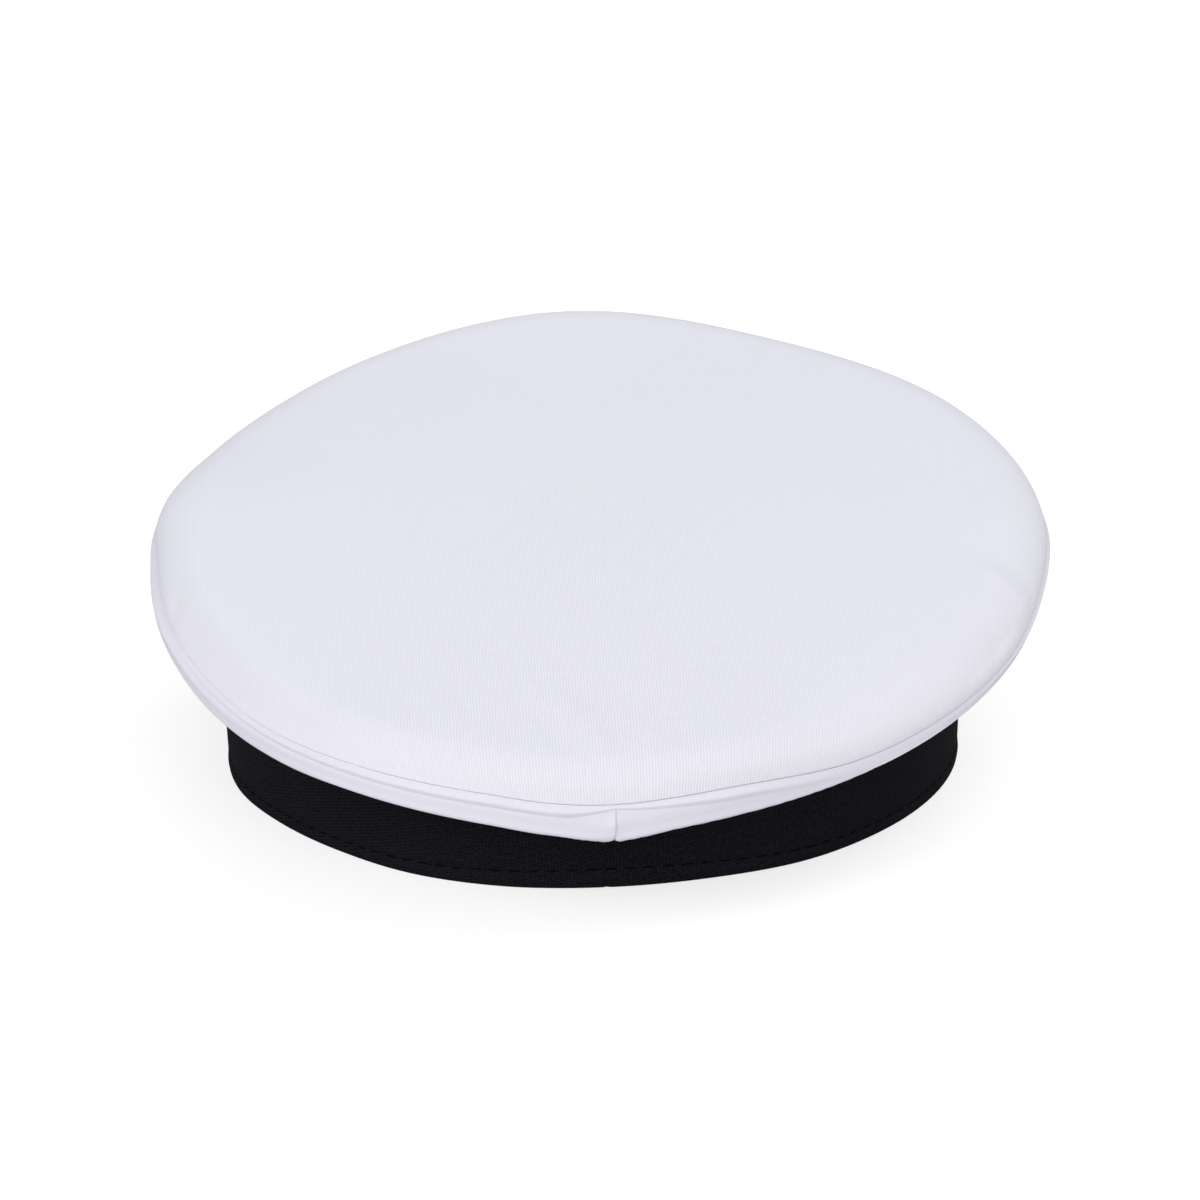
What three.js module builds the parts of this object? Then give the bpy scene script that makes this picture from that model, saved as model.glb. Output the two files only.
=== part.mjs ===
// A captain hat lying on its band: a padded white crown over a black cloth band, with a short black peak.
// Millimetres, +Z up, with the peak towards -Y. A bearing is the angle from the back seam, at +Y, towards +X.

import * as THREE from 'three';
import { mergeVertices } from 'three/addons/utils/BufferGeometryUtils.js';

const FULL_TURN = 2 * Math.PI;

// Driving dimensions, measured from the middle of the band's lower edge.
const SEAM_GAP = 0.3;
const BEARING_STEPS = 64;

const BAND = {
  oval: { plusX: 91.5, minusX: 91.5, rear: 90.5, front: 98 },
  height: 35,
  wall: 2.5,
  frontLift: 8, // the stiff peak props the front of the soft band up by this much
  liftStart: 0.2, // the lift starts this share of the way forward from the band's sides
};

const CROWN = {
  oval: { plusX: 111.3, minusX: 113.7, rear: 116, front: 120 },
  rimHeight: 50.5,
  rimTilt: 19.5, // the rim seam stands this much higher at the front, and lower at the back
  backPoint: 1, // the side panel hangs this much lower in a point at the back seam
  backPointAngle: THREE.MathUtils.degToRad(7),
};

const TOP = {
  wall: 3,
  dome: 4,
  shoulder: 8.5, // the padded edge's rise above the rim seam
  shoulderWidth: 17,
  flatSteps: 6,
  shoulderSteps: 6,
};

const SIDE = {
  wall: 1.4,
  steps: 12,
  flankShare: 0.5, // where the panel bulges to the crown's reach, as a share of its drop
  turnShare: 0.9, // where it has turned under
  foldRound: 1.5, // half the width of the fold's flat bottom
  neckRise: 2.2, // the panel rolls over the band's top edge by this much
  neckOut: 1,
  underShare: 0.55, // how far up the underside has climbed half-way in from the fold to the band
};

const PEAK = {
  edgeRadius: 90,
  edgeCentreY: -56,
  halfAngle: THREE.MathUtils.degToRad(67),
  rootThickness: 2.8,
  edgeThickness: 1.8,
  edgeHeight: 0.2,
  bend: 1.15, // above 1 the peak arches a little on its way down to its edge
  sections: 28,
  steps: 4,
};

// The rim and the band at bearings in degrees. sag lifts or lowers the rim seam from its tilted plane, out
// widens the crown's reach, inset is how far the seam lies inside the reach, drop is how far the side panel
// hangs below the seam before it folds under, fold is how far that fold lies inside the reach, and ease lets
// the soft band out from its oval, or in.
const ROWS = [
  { at: 0, sag: -0.2, out: 0, inset: 1.0, drop: 8.2, fold: 2.5, ease: -0.1 }, // back
  { at: 15, sag: 1.4, out: 0, inset: 1.0, drop: 8.0, fold: 2.5, ease: 0.8 },
  { at: 30, sag: 1.7, out: 0, inset: 1.2, drop: 7.4, fold: 2.8, ease: 0.4 },
  { at: 45, sag: 1.1, out: -0.8, inset: 1.4, drop: 7.2, fold: 3.2, ease: -1.7 },
  { at: 60, sag: 1.2, out: -2.0, inset: 2.0, drop: 7.0, fold: 4.2, ease: -2.4 },
  { at: 75, sag: 1.9, out: -2.8, inset: 2.2, drop: 5.8, fold: 4.8, ease: -1.0 },
  { at: 90, sag: 2.3, out: -2.8, inset: 2.0, drop: 5.5, fold: 5.0, ease: 0.3 }, // +X side
  { at: 105, sag: 1.4, out: -1.2, inset: 1.5, drop: 6.5, fold: 5.0, ease: 0.1 },
  { at: 120, sag: -2.7, out: 0, inset: 1.5, drop: 8.0, fold: 5.0, ease: 0 },
  { at: 150, sag: -0.4, out: 0, inset: 1.5, drop: 11.0, fold: 6.0, ease: 0 },
  { at: 180, sag: 4.4, out: 0, inset: 1.0, drop: 12.0, fold: 6.0, ease: 0 }, // front
  { at: 210, sag: 1.8, out: 0, inset: 1.0, drop: 11.0, fold: 6.0, ease: 0 },
  { at: 240, sag: 3.8, out: 0, inset: 0.5, drop: 8.0, fold: 6.0, ease: 0 },
  { at: 270, sag: 4.9, out: 0.2, inset: 0.3, drop: 4.2, fold: 8.0, ease: 0.3 }, // -X side
  { at: 285, sag: 3.4, out: -0.8, inset: 0.3, drop: 4.4, fold: 7.0, ease: -0.8 },
  { at: 300, sag: 1.6, out: -0.8, inset: 0.3, drop: 4.7, fold: 6.0, ease: -1.6 },
  { at: 315, sag: 0.4, out: -0.3, inset: 0.4, drop: 4.6, fold: 4.5, ease: -0.6 },
  { at: 330, sag: -0.2, out: 0, inset: 0.7, drop: 4.8, fold: 3.5, ease: 0.4 },
  { at: 345, sag: 1.3, out: 0, inset: 0.9, drop: 7.5, fold: 2.8, ease: -0.6 },
];
const COLUMNS = ['sag', 'out', 'inset', 'drop', 'fold', 'ease'];

const WHITE_CLOTH = { color: 0xe6e6ee, roughness: 0.9, metalness: 0 };
const BLACK_CLOTH = { color: 0x141317, roughness: 0.85, metalness: 0 };

// Two rows of the turn before and two of the turn after let the smooth curves close.
const wrappedRows = [
  ...ROWS.slice(-2).map((row) => ({ ...row, at: row.at - 360 })),
  ...ROWS,
  ...ROWS.slice(0, 2).map((row) => ({ ...row, at: row.at + 360 })),
];
const rowCurve = new THREE.CubicInterpolant(
  wrappedRows.map((row) => row.at),
  wrappedRows.flatMap((row) => COLUMNS.map((column) => row[column])),
  COLUMNS.length,
);

/** The table's values at a bearing. */
function rowAt(bearing) {
  const degrees = THREE.MathUtils.euclideanModulo(THREE.MathUtils.radToDeg(bearing), 360);
  const values = rowCurve.evaluate(degrees);
  return Object.fromEntries(COLUMNS.map((column, i) => [column, values[i]]));
}

/** The radius of an oval whose four quarters are each part of an ellipse of its own. */
function ovalRadius(bearing, { plusX, minusX, rear, front }) {
  const across = Math.sin(bearing) / (Math.sin(bearing) > 0 ? plusX : minusX);
  const along = Math.cos(bearing) / (Math.cos(bearing) > 0 ? rear : front);
  return 1 / Math.hypot(across, along);
}

function bandRadius(bearing) {
  return ovalRadius(bearing, BAND.oval) + rowAt(bearing).ease;
}

/** The height of the band's lower edge: on the table, and lifted where the peak props it up. */
function bandFoot(bearing) {
  return BAND.frontLift * THREE.MathUtils.smoothstep(-Math.cos(bearing), BAND.liftStart, 1);
}

/** The rim at a bearing: how far out its reach, seam and fold are, and how high its seam is. */
function rimAt(bearing) {
  const { sag, out, inset, drop, fold } = rowAt(bearing);
  const reach = ovalRadius(bearing, CROWN.oval) + out;
  const fromBack = Math.acos(Math.cos(bearing));
  return {
    sag,
    drop: drop + CROWN.backPoint * Math.max(0, 1 - fromBack / CROWN.backPointAngle),
    reach,
    seamRadius: reach - inset,
    seamHeight: CROWN.rimHeight - CROWN.rimTilt * Math.cos(bearing) + sag,
    foldRadius: reach - fold,
  };
}

/** Profile points, as (radius, height), moved inwards from the profile's outer face by a wall's thickness. */
function movedIn(profile, wall) {
  return profile.map((point, i) => {
    const before = profile[Math.max(i - 1, 0)];
    const after = profile[Math.min(i + 1, profile.length - 1)];
    const along = after.clone().sub(before).normalize();
    return new THREE.Vector2(point.x + along.y * wall, point.y - along.x * wall);
  });
}

/** Profile points, as (radius, height), placed at a bearing. */
function placed(profile, bearing) {
  return profile.map(({ x: radius, y: height }) => new THREE.Vector3(
    radius * Math.sin(bearing),
    radius * Math.cos(bearing),
    height,
  ));
}

/** One closed body through a row of closed loops that all have the same number of points. */
function loft(loops, { joinEnds }) {
  const size = loops[0].length;
  const positions = loops.flat().flatMap((point) => point.toArray());
  const spans = joinEnds ? loops.length : loops.length - 1;
  const triangles = [];
  for (let i = 0; i < spans; i += 1) {
    const here = i * size;
    const next = ((i + 1) % loops.length) * size;
    for (let j = 0; j < size; j += 1) {
      const k = (j + 1) % size;
      triangles.push([here + j, next + k, here + k], [here + j, next + j, next + k]);
    }
  }
  if (!joinEnds) {
    const last = (loops.length - 1) * size;
    for (let j = 1; j < size - 1; j += 1) {
      triangles.push([0, j, j + 1], [last, last + j + 1, last + j]);
    }
  }
  const geometry = new THREE.BufferGeometry();
  geometry.setAttribute('position', new THREE.Float32BufferAttribute(positions, 3));
  geometry.setIndex(triangles.flat());
  return withoutSlivers(mergeVertices(geometry));
}

/** Drops the triangles that shrank to nothing where loops meet at a point, and adds normals. */
function withoutSlivers(geometry) {
  const index = Array.from(geometry.index.array);
  const kept = [];
  for (let i = 0; i < index.length; i += 3) {
    const corners = index.slice(i, i + 3);
    if (new Set(corners).size === 3) kept.push(...corners);
  }
  geometry.setIndex(kept);
  geometry.computeVertexNormals();
  return geometry;
}

/** A row of loops all the way round, made by a function of the bearing. */
function allRound(loopAt) {
  return Array.from({ length: BEARING_STEPS }, (_, i) => loopAt((i / BEARING_STEPS) * FULL_TURN));
}

function piece(name, geometry, finish) {
  const mesh = new THREE.Mesh(geometry, new THREE.MeshStandardMaterial(finish));
  mesh.name = name;
  return mesh;
}

/** The padded top: a tilted, slightly domed disc whose rounded shoulder comes down to the rim seam. */
function crownTop() {
  return loft(allRound((bearing) => {
    const rim = rimAt(bearing);
    const flatRadius = rim.seamRadius - TOP.shoulderWidth;
    const heightAt = (radius) => {
      const share = radius / rim.seamRadius;
      const tilt = CROWN.rimTilt * Math.cos(bearing) * share;
      return CROWN.rimHeight + TOP.shoulder - tilt + rim.sag * share ** 2 + TOP.dome * (1 - share ** 2);
    };
    const outer = [];
    for (let i = 0; i < TOP.flatSteps; i += 1) {
      const radius = (flatRadius * i) / TOP.flatSteps;
      outer.push(new THREE.Vector2(radius, heightAt(radius)));
    }
    for (let i = 0; i <= TOP.shoulderSteps; i += 1) {
      const angle = ((i / TOP.shoulderSteps) * Math.PI) / 2;
      const radius = flatRadius + TOP.shoulderWidth * Math.sin(angle);
      outer.push(new THREE.Vector2(radius, heightAt(radius) - TOP.shoulder * (1 - Math.cos(angle))));
    }
    const inner = movedIn(outer, TOP.wall);
    inner[0].set(0, outer[0].y - TOP.wall);
    return placed([...outer, ...inner.reverse()], bearing);
  }), { joinEnds: true });
}

/** The side panel: from the rim seam down, folded under, and back in to the band's top edge. */
function crownSide() {
  return loft(allRound((bearing) => {
    const rim = rimAt(bearing);
    const bandOut = bandRadius(bearing);
    const bandTop = bandFoot(bearing) + BAND.height;
    const foldHeight = rim.seamHeight - rim.drop;
    const neckHeight = bandTop + SIDE.neckRise;
    const path = new THREE.SplineCurve([
      new THREE.Vector2(rim.seamRadius, rim.seamHeight - SEAM_GAP),
      new THREE.Vector2(rim.reach, rim.seamHeight - SIDE.flankShare * rim.drop),
      new THREE.Vector2(rim.foldRadius + SIDE.foldRound, rim.seamHeight - SIDE.turnShare * rim.drop),
      new THREE.Vector2(rim.foldRadius - SIDE.foldRound, foldHeight),
      new THREE.Vector2(
        (rim.foldRadius + bandOut) / 2,
        THREE.MathUtils.lerp(foldHeight, neckHeight, SIDE.underShare),
      ),
      new THREE.Vector2(bandOut + SIDE.neckOut, neckHeight),
      new THREE.Vector2(bandOut - SIDE.wall / 2, bandTop + SEAM_GAP),
    ]);
    const outer = path.getPoints(SIDE.steps);
    const inner = movedIn(outer, SIDE.wall);
    return placed([...outer, ...inner.reverse()], bearing);
  }), { joinEnds: true });
}

/** The head band: an oval wall that stands on its lower edge. */
function band() {
  return loft(allRound((bearing) => {
    const radius = bandRadius(bearing);
    const foot = bandFoot(bearing);
    const section = [
      new THREE.Vector2(radius, foot + BAND.height),
      new THREE.Vector2(radius, foot),
      new THREE.Vector2(radius - BAND.wall, foot),
      new THREE.Vector2(radius - BAND.wall, foot + BAND.height),
    ];
    return placed(section, bearing);
  }), { joinEnds: true });
}

/** The peak: a crescent from the band's lower edge down to the table, with a round outer edge. */
function peak() {
  const loops = [];
  for (let i = 0; i <= PEAK.sections; i += 1) {
    const bearing = Math.PI + PEAK.halfAngle * ((2 * i) / PEAK.sections - 1);
    const towards = PEAK.edgeCentreY * Math.cos(bearing);
    const edgeRadius = towards + Math.sqrt(towards ** 2 - PEAK.edgeCentreY ** 2 + PEAK.edgeRadius ** 2);
    const rootRadius = bandRadius(bearing) + SEAM_GAP;
    const rootHeight = bandFoot(bearing) + SEAM_GAP;
    const under = [];
    const over = [];
    for (let j = 0; j <= PEAK.steps; j += 1) {
      const share = j / PEAK.steps;
      const radius = THREE.MathUtils.lerp(rootRadius, edgeRadius, share);
      const height = THREE.MathUtils.lerp(rootHeight, PEAK.edgeHeight, share ** PEAK.bend);
      const thickness = THREE.MathUtils.lerp(PEAK.rootThickness, PEAK.edgeThickness, share);
      under.push(new THREE.Vector2(radius, height));
      over.push(new THREE.Vector2(radius, height + thickness));
    }
    loops.push(placed([...over, ...under.reverse()], bearing));
  }
  return loft(loops, { joinEnds: false });
}

const hat = new THREE.Group();
hat.add(
  piece('crown_top', crownTop(), WHITE_CLOTH),
  piece('crown_side', crownSide(), WHITE_CLOTH),
  piece('band', band(), BLACK_CLOTH),
  piece('peak', peak(), BLACK_CLOTH),
);

// The origin goes below the middle of the whole hat, on the surface that it lies on.
const bounds = new THREE.Box3().setFromObject(hat);
const middle = bounds.getCenter(new THREE.Vector3());
hat.position.set(-middle.x, -middle.y, -bounds.min.z);

export default hat;
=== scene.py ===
"""A captain hat lying on its band, dressed for the studio.

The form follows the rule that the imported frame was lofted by, in millimetres from the middle of the band's
lower edge, with more sections. It adds what the frame leaves out: the padded top's soft creases, the rolled
edges of the rim seam, the ridge of the seam allowance below it, the back seams, the hem and its stitches.
A bearing is the angle from the back seam, at +Y, towards +X.
"""

from __future__ import annotations

import logging
import math
from dataclasses import dataclass
from enum import Enum
from typing import Any

import bmesh
import bpy
import numpy as np
from mathutils import Matrix, Vector

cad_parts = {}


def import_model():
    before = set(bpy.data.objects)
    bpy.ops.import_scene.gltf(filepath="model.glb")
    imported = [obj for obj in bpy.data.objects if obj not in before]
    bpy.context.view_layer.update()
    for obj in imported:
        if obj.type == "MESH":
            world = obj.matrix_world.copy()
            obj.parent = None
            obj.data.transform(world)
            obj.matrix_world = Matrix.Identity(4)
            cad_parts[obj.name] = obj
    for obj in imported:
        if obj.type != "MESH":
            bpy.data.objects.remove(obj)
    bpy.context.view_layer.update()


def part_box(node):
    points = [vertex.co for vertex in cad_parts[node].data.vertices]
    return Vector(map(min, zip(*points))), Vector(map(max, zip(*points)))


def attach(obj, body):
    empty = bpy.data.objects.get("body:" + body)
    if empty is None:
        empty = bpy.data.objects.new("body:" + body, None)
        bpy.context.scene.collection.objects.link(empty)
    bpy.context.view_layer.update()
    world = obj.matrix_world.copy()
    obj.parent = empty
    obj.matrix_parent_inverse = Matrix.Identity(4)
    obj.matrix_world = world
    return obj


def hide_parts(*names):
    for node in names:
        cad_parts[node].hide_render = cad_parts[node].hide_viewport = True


LOG = logging.getLogger("captain_hat")
MM = 0.001
FULL_TURN = 2 * math.pi
BODY = "root"
CLOTH_UV = "cloth"
# Points that lie closer together than this are one, in metres.
WELD = 1e-7
# The shortest step along a profile that gives it a direction, in millimetres.
LEAST_STEP = 1e-9
# Cotton and polyester fibres bend light much alike.
FIBRE_IOR = 1.5
# A noise texture's values hardly ever leave this range.
NOISE_LOW, NOISE_HIGH = 0.3, 0.7


class Slot(Enum):
    """The record's material slots."""

    WHITE = "white_cloth"
    BLACK = "black_cloth"


def linear(colour: str) -> tuple[float, float, float, float]:
    """Turns an sRGB hex colour into linear RGBA.

    Args:
        colour: Six hex digits after a hash.

    Returns:
        The linear colour, with full alpha.
    """
    shares = (int(colour[i : i + 2], 16) / 255 for i in (1, 3, 5))
    red, green, blue = (c / 12.92 if c <= 0.04045 else ((c + 0.055) / 1.055) ** 2.4 for c in shares)
    return red, green, blue, 1.0


def add_node(
    tree: bpy.types.NodeTree,
    kind: str,
    options: dict[str, Any] | None = None,
    inputs: dict[str | int, Any] | None = None,
) -> bpy.types.Node:
    """Adds a node with its settings and links.

    Args:
        tree: The tree that the node goes into.
        kind: The node's type name.
        options: Attributes to set on the node.
        inputs: Input names or numbers, with a value or the socket that feeds each.

    Returns:
        The new node.
    """
    node = tree.nodes.new(kind)
    for name, value in (options or {}).items():
        setattr(node, name, value)
    for key, value in (inputs or {}).items():
        if isinstance(value, bpy.types.NodeSocket):
            tree.links.new(value, node.inputs[key])
        else:
            node.inputs[key].default_value = value
    return node


def smoothstep(value: np.ndarray, low: float, high: float) -> np.ndarray:
    """Rises smoothly from 0 at low to 1 at high."""
    share = np.clip((value - low) / (high - low), 0, 1)
    return share * share * (3 - 2 * share)


def bell(distance: np.ndarray, width: float | np.ndarray) -> np.ndarray:
    """A smooth bump, 1 at no distance and nearly 0 two widths away."""
    return np.exp(-((distance / width) ** 2))


def from_back(bearing: np.ndarray) -> np.ndarray:
    """Gives each bearing as an angle from the back seam, from minus half a turn to half a turn."""
    return np.mod(bearing + math.pi, FULL_TURN) - math.pi


def curve_span(
    start: np.ndarray, end: np.ndarray, leave: np.ndarray, arrive: np.ndarray, share: np.ndarray
) -> np.ndarray:
    """Follows a smooth cubic from start to end.

    Args:
        start: Where the span starts.
        end: Where it ends.
        leave: Slope at the start, for the whole span.
        arrive: Slope at the end, for the whole span.
        share: How far along the span, from 0 to 1.

    Returns:
        The point on the curve.
    """
    bend = 3 * (end - start) - 2 * leave - arrive
    twist = 2 * (start - end) + leave + arrive
    return start + share * (leave + share * (bend + share * twist))


@dataclass(frozen=True)
class Oval:
    """An oval whose four quarters are each part of an ellipse of its own, in millimetres.

    Attributes:
        plus_x: Half its width towards +X.
        minus_x: Half its width towards -X.
        rear: How far it reaches back.
        front: How far it reaches forwards.
    """

    plus_x: float
    minus_x: float
    rear: float
    front: float

    def radius(self, bearing: np.ndarray) -> np.ndarray:
        """Gives the distance from the middle to the oval at each bearing."""
        across = np.sin(bearing) / np.where(np.sin(bearing) > 0, self.plus_x, self.minus_x)
        along = np.cos(bearing) / np.where(np.cos(bearing) > 0, self.rear, self.front)
        return 1 / np.hypot(across, along)


@dataclass(frozen=True)
class Section:
    """The hat at one bearing, in millimetres.

    Attributes:
        at: The bearing, in degrees.
        rise: How far the rim seam lies above its tilted plane.
        out: Extra reach of the crown beyond its oval.
        inset: How far the rim seam lies inside the reach.
        drop: How far the side panel hangs below the seam before it folds under.
        fold: How far that fold lies inside the reach. Where it is negative, the panel flares outwards.
        ease: How far the soft band is let out from its oval.
        ridge: Share of the seam allowance's ridge that shows below the rim seam.
        ridge_wide: How wide that ridge is.
    """

    at: float
    rise: float
    out: float
    inset: float
    drop: float
    fold: float
    ease: float
    ridge: float
    ridge_wide: float


SECTIONS = (
    # at, rise, out, inset, drop, fold, ease, ridge, ridge_wide
    Section(0.0, -0.2, -0.2, 0.45, 8.0, 2.2, 0.8, 1.0, 2.3),  # back seam
    Section(7.5, 0.1, -0.2, 0.45, 7.9, 2.2, 1.2, 1.0, 2.1),
    Section(15.0, 1.2, -0.3, 0.45, 7.6, 2.1, 1.6, 1.0, 2.0),
    Section(30.0, 1.7, -0.3, 0.6, 6.8, 1.9, 1.2, 1.0, 1.8),
    Section(45.0, 1.1, -1.3, 0.8, 6.6, 2.0, -0.6, 1.0, 1.55),
    Section(60.0, 1.2, -2.1, 1.8, 6.0, 1.8, -0.8, 0.85, 1.4),
    Section(75.0, 1.9, -2.1, 2.2, 4.3, 2.4, 0.3, 0.4, 1.3),
    Section(90.0, 2.3, -2.6, 1.8, 4.2, 3.5, 0.4, 0.3, 1.4),  # +X side
    Section(97.5, 2.1, -1.8, 1.1, 5.0, 4.5, 0.25, 0.3, 1.4),
    Section(105.0, 0.95, -1.2, 1.3, 6.0, 5.0, 0.1, 0.4, 1.4),
    Section(112.5, -1.45, -0.5, 1.5, 7.0, 5.0, 0.0, 0.5, 1.5),
    Section(120.0, -3.6, 0.0, 1.5, 8.0, 5.0, 0.0, 0.6, 1.6),
    Section(135.0, -3.6, 0.0, 1.5, 9.5, 5.5, 0.0, 0.7, 1.8),
    Section(150.0, -1.1, 0.0, 1.5, 11.0, 6.0, 0.0, 0.8, 2.0),
    Section(180.0, 4.3, 0.0, 1.0, 12.0, 6.0, 0.0, 0.8, 2.0),  # front
    Section(210.0, 1.2, 0.0, 1.0, 11.0, 6.0, 0.0, 0.8, 2.0),
    Section(240.0, 3.8, 0.0, 0.5, 8.0, 6.0, 0.0, 0.5, 2.0),
    Section(270.0, 4.9, 0.7, 0.8, 3.8, 8.0, 0.6, 0.1, 2.0),  # -X side
    Section(285.0, 3.4, -0.3, 0.6, 2.6, 5.5, 0.8, 0.0, 2.0),
    Section(300.0, 1.6, 0.0, 0.3, 2.25, 2.4, 0.8, 0.0, 2.0),
    Section(315.0, 0.4, 0.0, 0.25, 2.45, -0.6, 1.0, 0.0, 2.0),
    Section(330.0, -0.2, -0.1, 0.3, 3.5, -1.0, 1.5, 0.0, 2.0),
    Section(345.0, 1.3, -0.1, 0.45, 7.0, 1.2, 0.5, 0.85, 2.1),
)


@dataclass(frozen=True)
class HatForm:
    """The rule that every piece of the hat follows, in millimetres.

    Attributes:
        band_oval: The band's outline.
        crown_oval: The crown's widest outline.
        band_height: Height of the band.
        front_lift: How far the peak props up the band's front.
        lift_start: Minus the cosine of the bearing where that starts.
        rim_height: Height of the rim seam's tilted plane over the middle.
        rim_tilt: How far that plane falls from the middle to the back.
        frame_rear: How far the frame's band reaches back from the middle.
        lip: How far the cloth's edges roll into the rim seam.
        tight_lip: The same where the seam is sewn tightest.
        tight_at_deg: Where that is.
        tight_deg: How far it reaches to each side.
        lip_gap: Gap from the seam's line to each rolled edge.
    """

    band_oval: Oval = Oval(plus_x=91.5, minus_x=91.5, rear=90.5, front=98.0)
    crown_oval: Oval = Oval(plus_x=111.3, minus_x=113.7, rear=116.0, front=120.0)
    band_height: float = 35.0
    front_lift: float = 8.0
    lift_start: float = 0.2
    rim_height: float = 50.5
    rim_tilt: float = 19.5
    frame_rear: float = 90.4
    lip: float = 0.23
    tight_lip: float = 0.08
    tight_at_deg: float = 55.0
    tight_deg: float = 30.0
    lip_gap: float = 0.03

    def around(self, column: str, bearing: np.ndarray) -> np.ndarray:
        """Reads a column of the section table.

        Args:
            column: The column's name.
            bearing: Where to read it.

        Returns:
            The column's value at each bearing, on a closed smooth curve through the rows.
        """
        at = np.array([section.at for section in SECTIONS])
        values = np.array([getattr(section, column) for section in SECTIONS])
        at = np.concatenate([at[-2:] - 360, at, at[:2] + 360])
        values = np.concatenate([values[-2:], values, values[:2]])
        slopes = np.zeros_like(values)
        slopes[1:-1] = (values[2:] - values[:-2]) / (at[2:] - at[:-2])
        place = np.mod(np.degrees(bearing), 360)
        row = np.searchsorted(at, place, side="right") - 1
        width = at[row + 1] - at[row]
        share = (place - at[row]) / width
        return curve_span(values[row], values[row + 1], slopes[row] * width, slopes[row + 1] * width, share)

    def band_radius(self, bearing: np.ndarray) -> np.ndarray:
        """Gives the radius of the band's outer face."""
        return self.band_oval.radius(bearing) + self.around("ease", bearing)

    def band_foot(self, bearing: np.ndarray) -> np.ndarray:
        """Gives the height of the band's lower edge, which the peak props up at the front."""
        return self.front_lift * smoothstep(-np.cos(bearing), self.lift_start, 1.0)

    def reach(self, bearing: np.ndarray) -> np.ndarray:
        """Gives the crown's widest radius."""
        return self.crown_oval.radius(bearing) + self.around("out", bearing)

    def seam_radius(self, bearing: np.ndarray) -> np.ndarray:
        """Gives the rim seam's radius."""
        return self.reach(bearing) - self.around("inset", bearing)

    def seam_height(self, bearing: np.ndarray) -> np.ndarray:
        """Gives the rim seam's height."""
        return self.rim_height - self.rim_tilt * np.cos(bearing) + self.around("rise", bearing)

    def tightness(self, bearing: np.ndarray) -> np.ndarray:
        """Gives how tightly the rim seam is sewn, up to 1 on the +X side of the back."""
        return bell(np.degrees(from_back(bearing)) - self.tight_at_deg, self.tight_deg)

    def seam_lip(self, bearing: np.ndarray) -> np.ndarray:
        """Gives how far the cloth's edges roll into the rim seam."""
        return self.lip + (self.tight_lip - self.lip) * self.tightness(bearing)


FORM = HatForm()


@dataclass(frozen=True)
class Place:
    """Where the middle of the band's lower edge lies in the frame, in metres."""

    x: float
    y: float

    @classmethod
    def from_frame(cls) -> Place:
        """Finds the place from the frame's band."""
        low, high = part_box("band")
        return cls((low[0] + high[0]) / 2, high[1] - FORM.frame_rear * MM)

    def metres(self, points: np.ndarray) -> np.ndarray:
        """Moves points from the hat's own millimetres into the frame's metres."""
        return points * MM + np.array([self.x, self.y, 0.0])


def all_bearings(
    coarse_deg: float = 0.75, fine_deg: float = 0.05, fine_half_deg: float = 1.5
) -> np.ndarray:
    """Lists the bearings of a ring's sections, closer together beside the back seam.

    Args:
        coarse_deg: Step away from the seam.
        fine_deg: Step beside the seam.
        fine_half_deg: How far the close steps run on each side.

    Returns:
        Bearings from 0 up to and including a full turn.
    """
    count = round((360 - 2 * fine_half_deg) / coarse_deg)
    middle = np.linspace(fine_half_deg, 360 - fine_half_deg, count + 1)
    near = np.linspace(0, fine_half_deg, round(fine_half_deg / fine_deg), endpoint=False)
    return np.radians(np.concatenate([near, middle, 360 - near[::-1]]))


def on_bearings(bearing: np.ndarray, radius: np.ndarray, height: np.ndarray) -> np.ndarray:
    """Places profile points at their bearings.

    Args:
        bearing: One bearing for each profile.
        radius: Radii, a row for each profile.
        height: Heights, a row for each profile.

    Returns:
        Points, as profiles by points by three.
    """
    turn = bearing[:, None]
    return np.stack([radius * np.sin(turn), radius * np.cos(turn), height], axis=-1)


def profile_normals(radius: np.ndarray, height: np.ndarray) -> tuple[np.ndarray, np.ndarray]:
    """Finds which way a profile's outer face points.

    Args:
        radius: Radii along each profile, from its top to its bottom or from the middle outwards.
        height: Heights along each profile.

    Returns:
        The outward and the upward share of each unit normal.
    """
    along, rise = np.gradient(radius, axis=1), np.gradient(height, axis=1)
    length = np.maximum(np.hypot(along, rise), LEAST_STEP)
    return -rise / length, along / length


def lengths(radius: np.ndarray, height: np.ndarray) -> np.ndarray:
    """Gives the length along each profile from its first point."""
    steps = np.hypot(np.diff(radius, axis=1), np.diff(height, axis=1))
    return np.concatenate([np.zeros((len(radius), 1)), np.cumsum(steps, axis=1)], axis=1)


def through_knots(knots: np.ndarray, steps: int) -> np.ndarray:
    """Draws a smooth line through the knots of every profile at once.

    Args:
        knots: Profiles by knots by two.
        steps: Steps from one knot to the next.

    Returns:
        Profiles by points by two.
    """
    gaps = np.diff(knots, axis=1)
    spans = np.linalg.norm(gaps, axis=2, keepdims=True)
    slopes = gaps / spans
    before, after = spans[:, :-1], spans[:, 1:]
    inner = (slopes[:, :-1] * after + slopes[:, 1:] * before) / (before + after)
    slopes = np.concatenate([slopes[:, :1], inner, slopes[:, -1:]], axis=1)
    share = np.linspace(0, 1, steps, endpoint=False)[:, None]
    parts = []
    for i in range(spans.shape[1]):
        start, end, span = knots[:, i, None], knots[:, i + 1, None], spans[:, i, None]
        leave, arrive = slopes[:, i, None] * span, slopes[:, i + 1, None] * span
        parts.append(curve_span(start, end, leave, arrive, share))
    return np.concatenate([*parts, knots[:, -1:]], axis=1)


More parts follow.
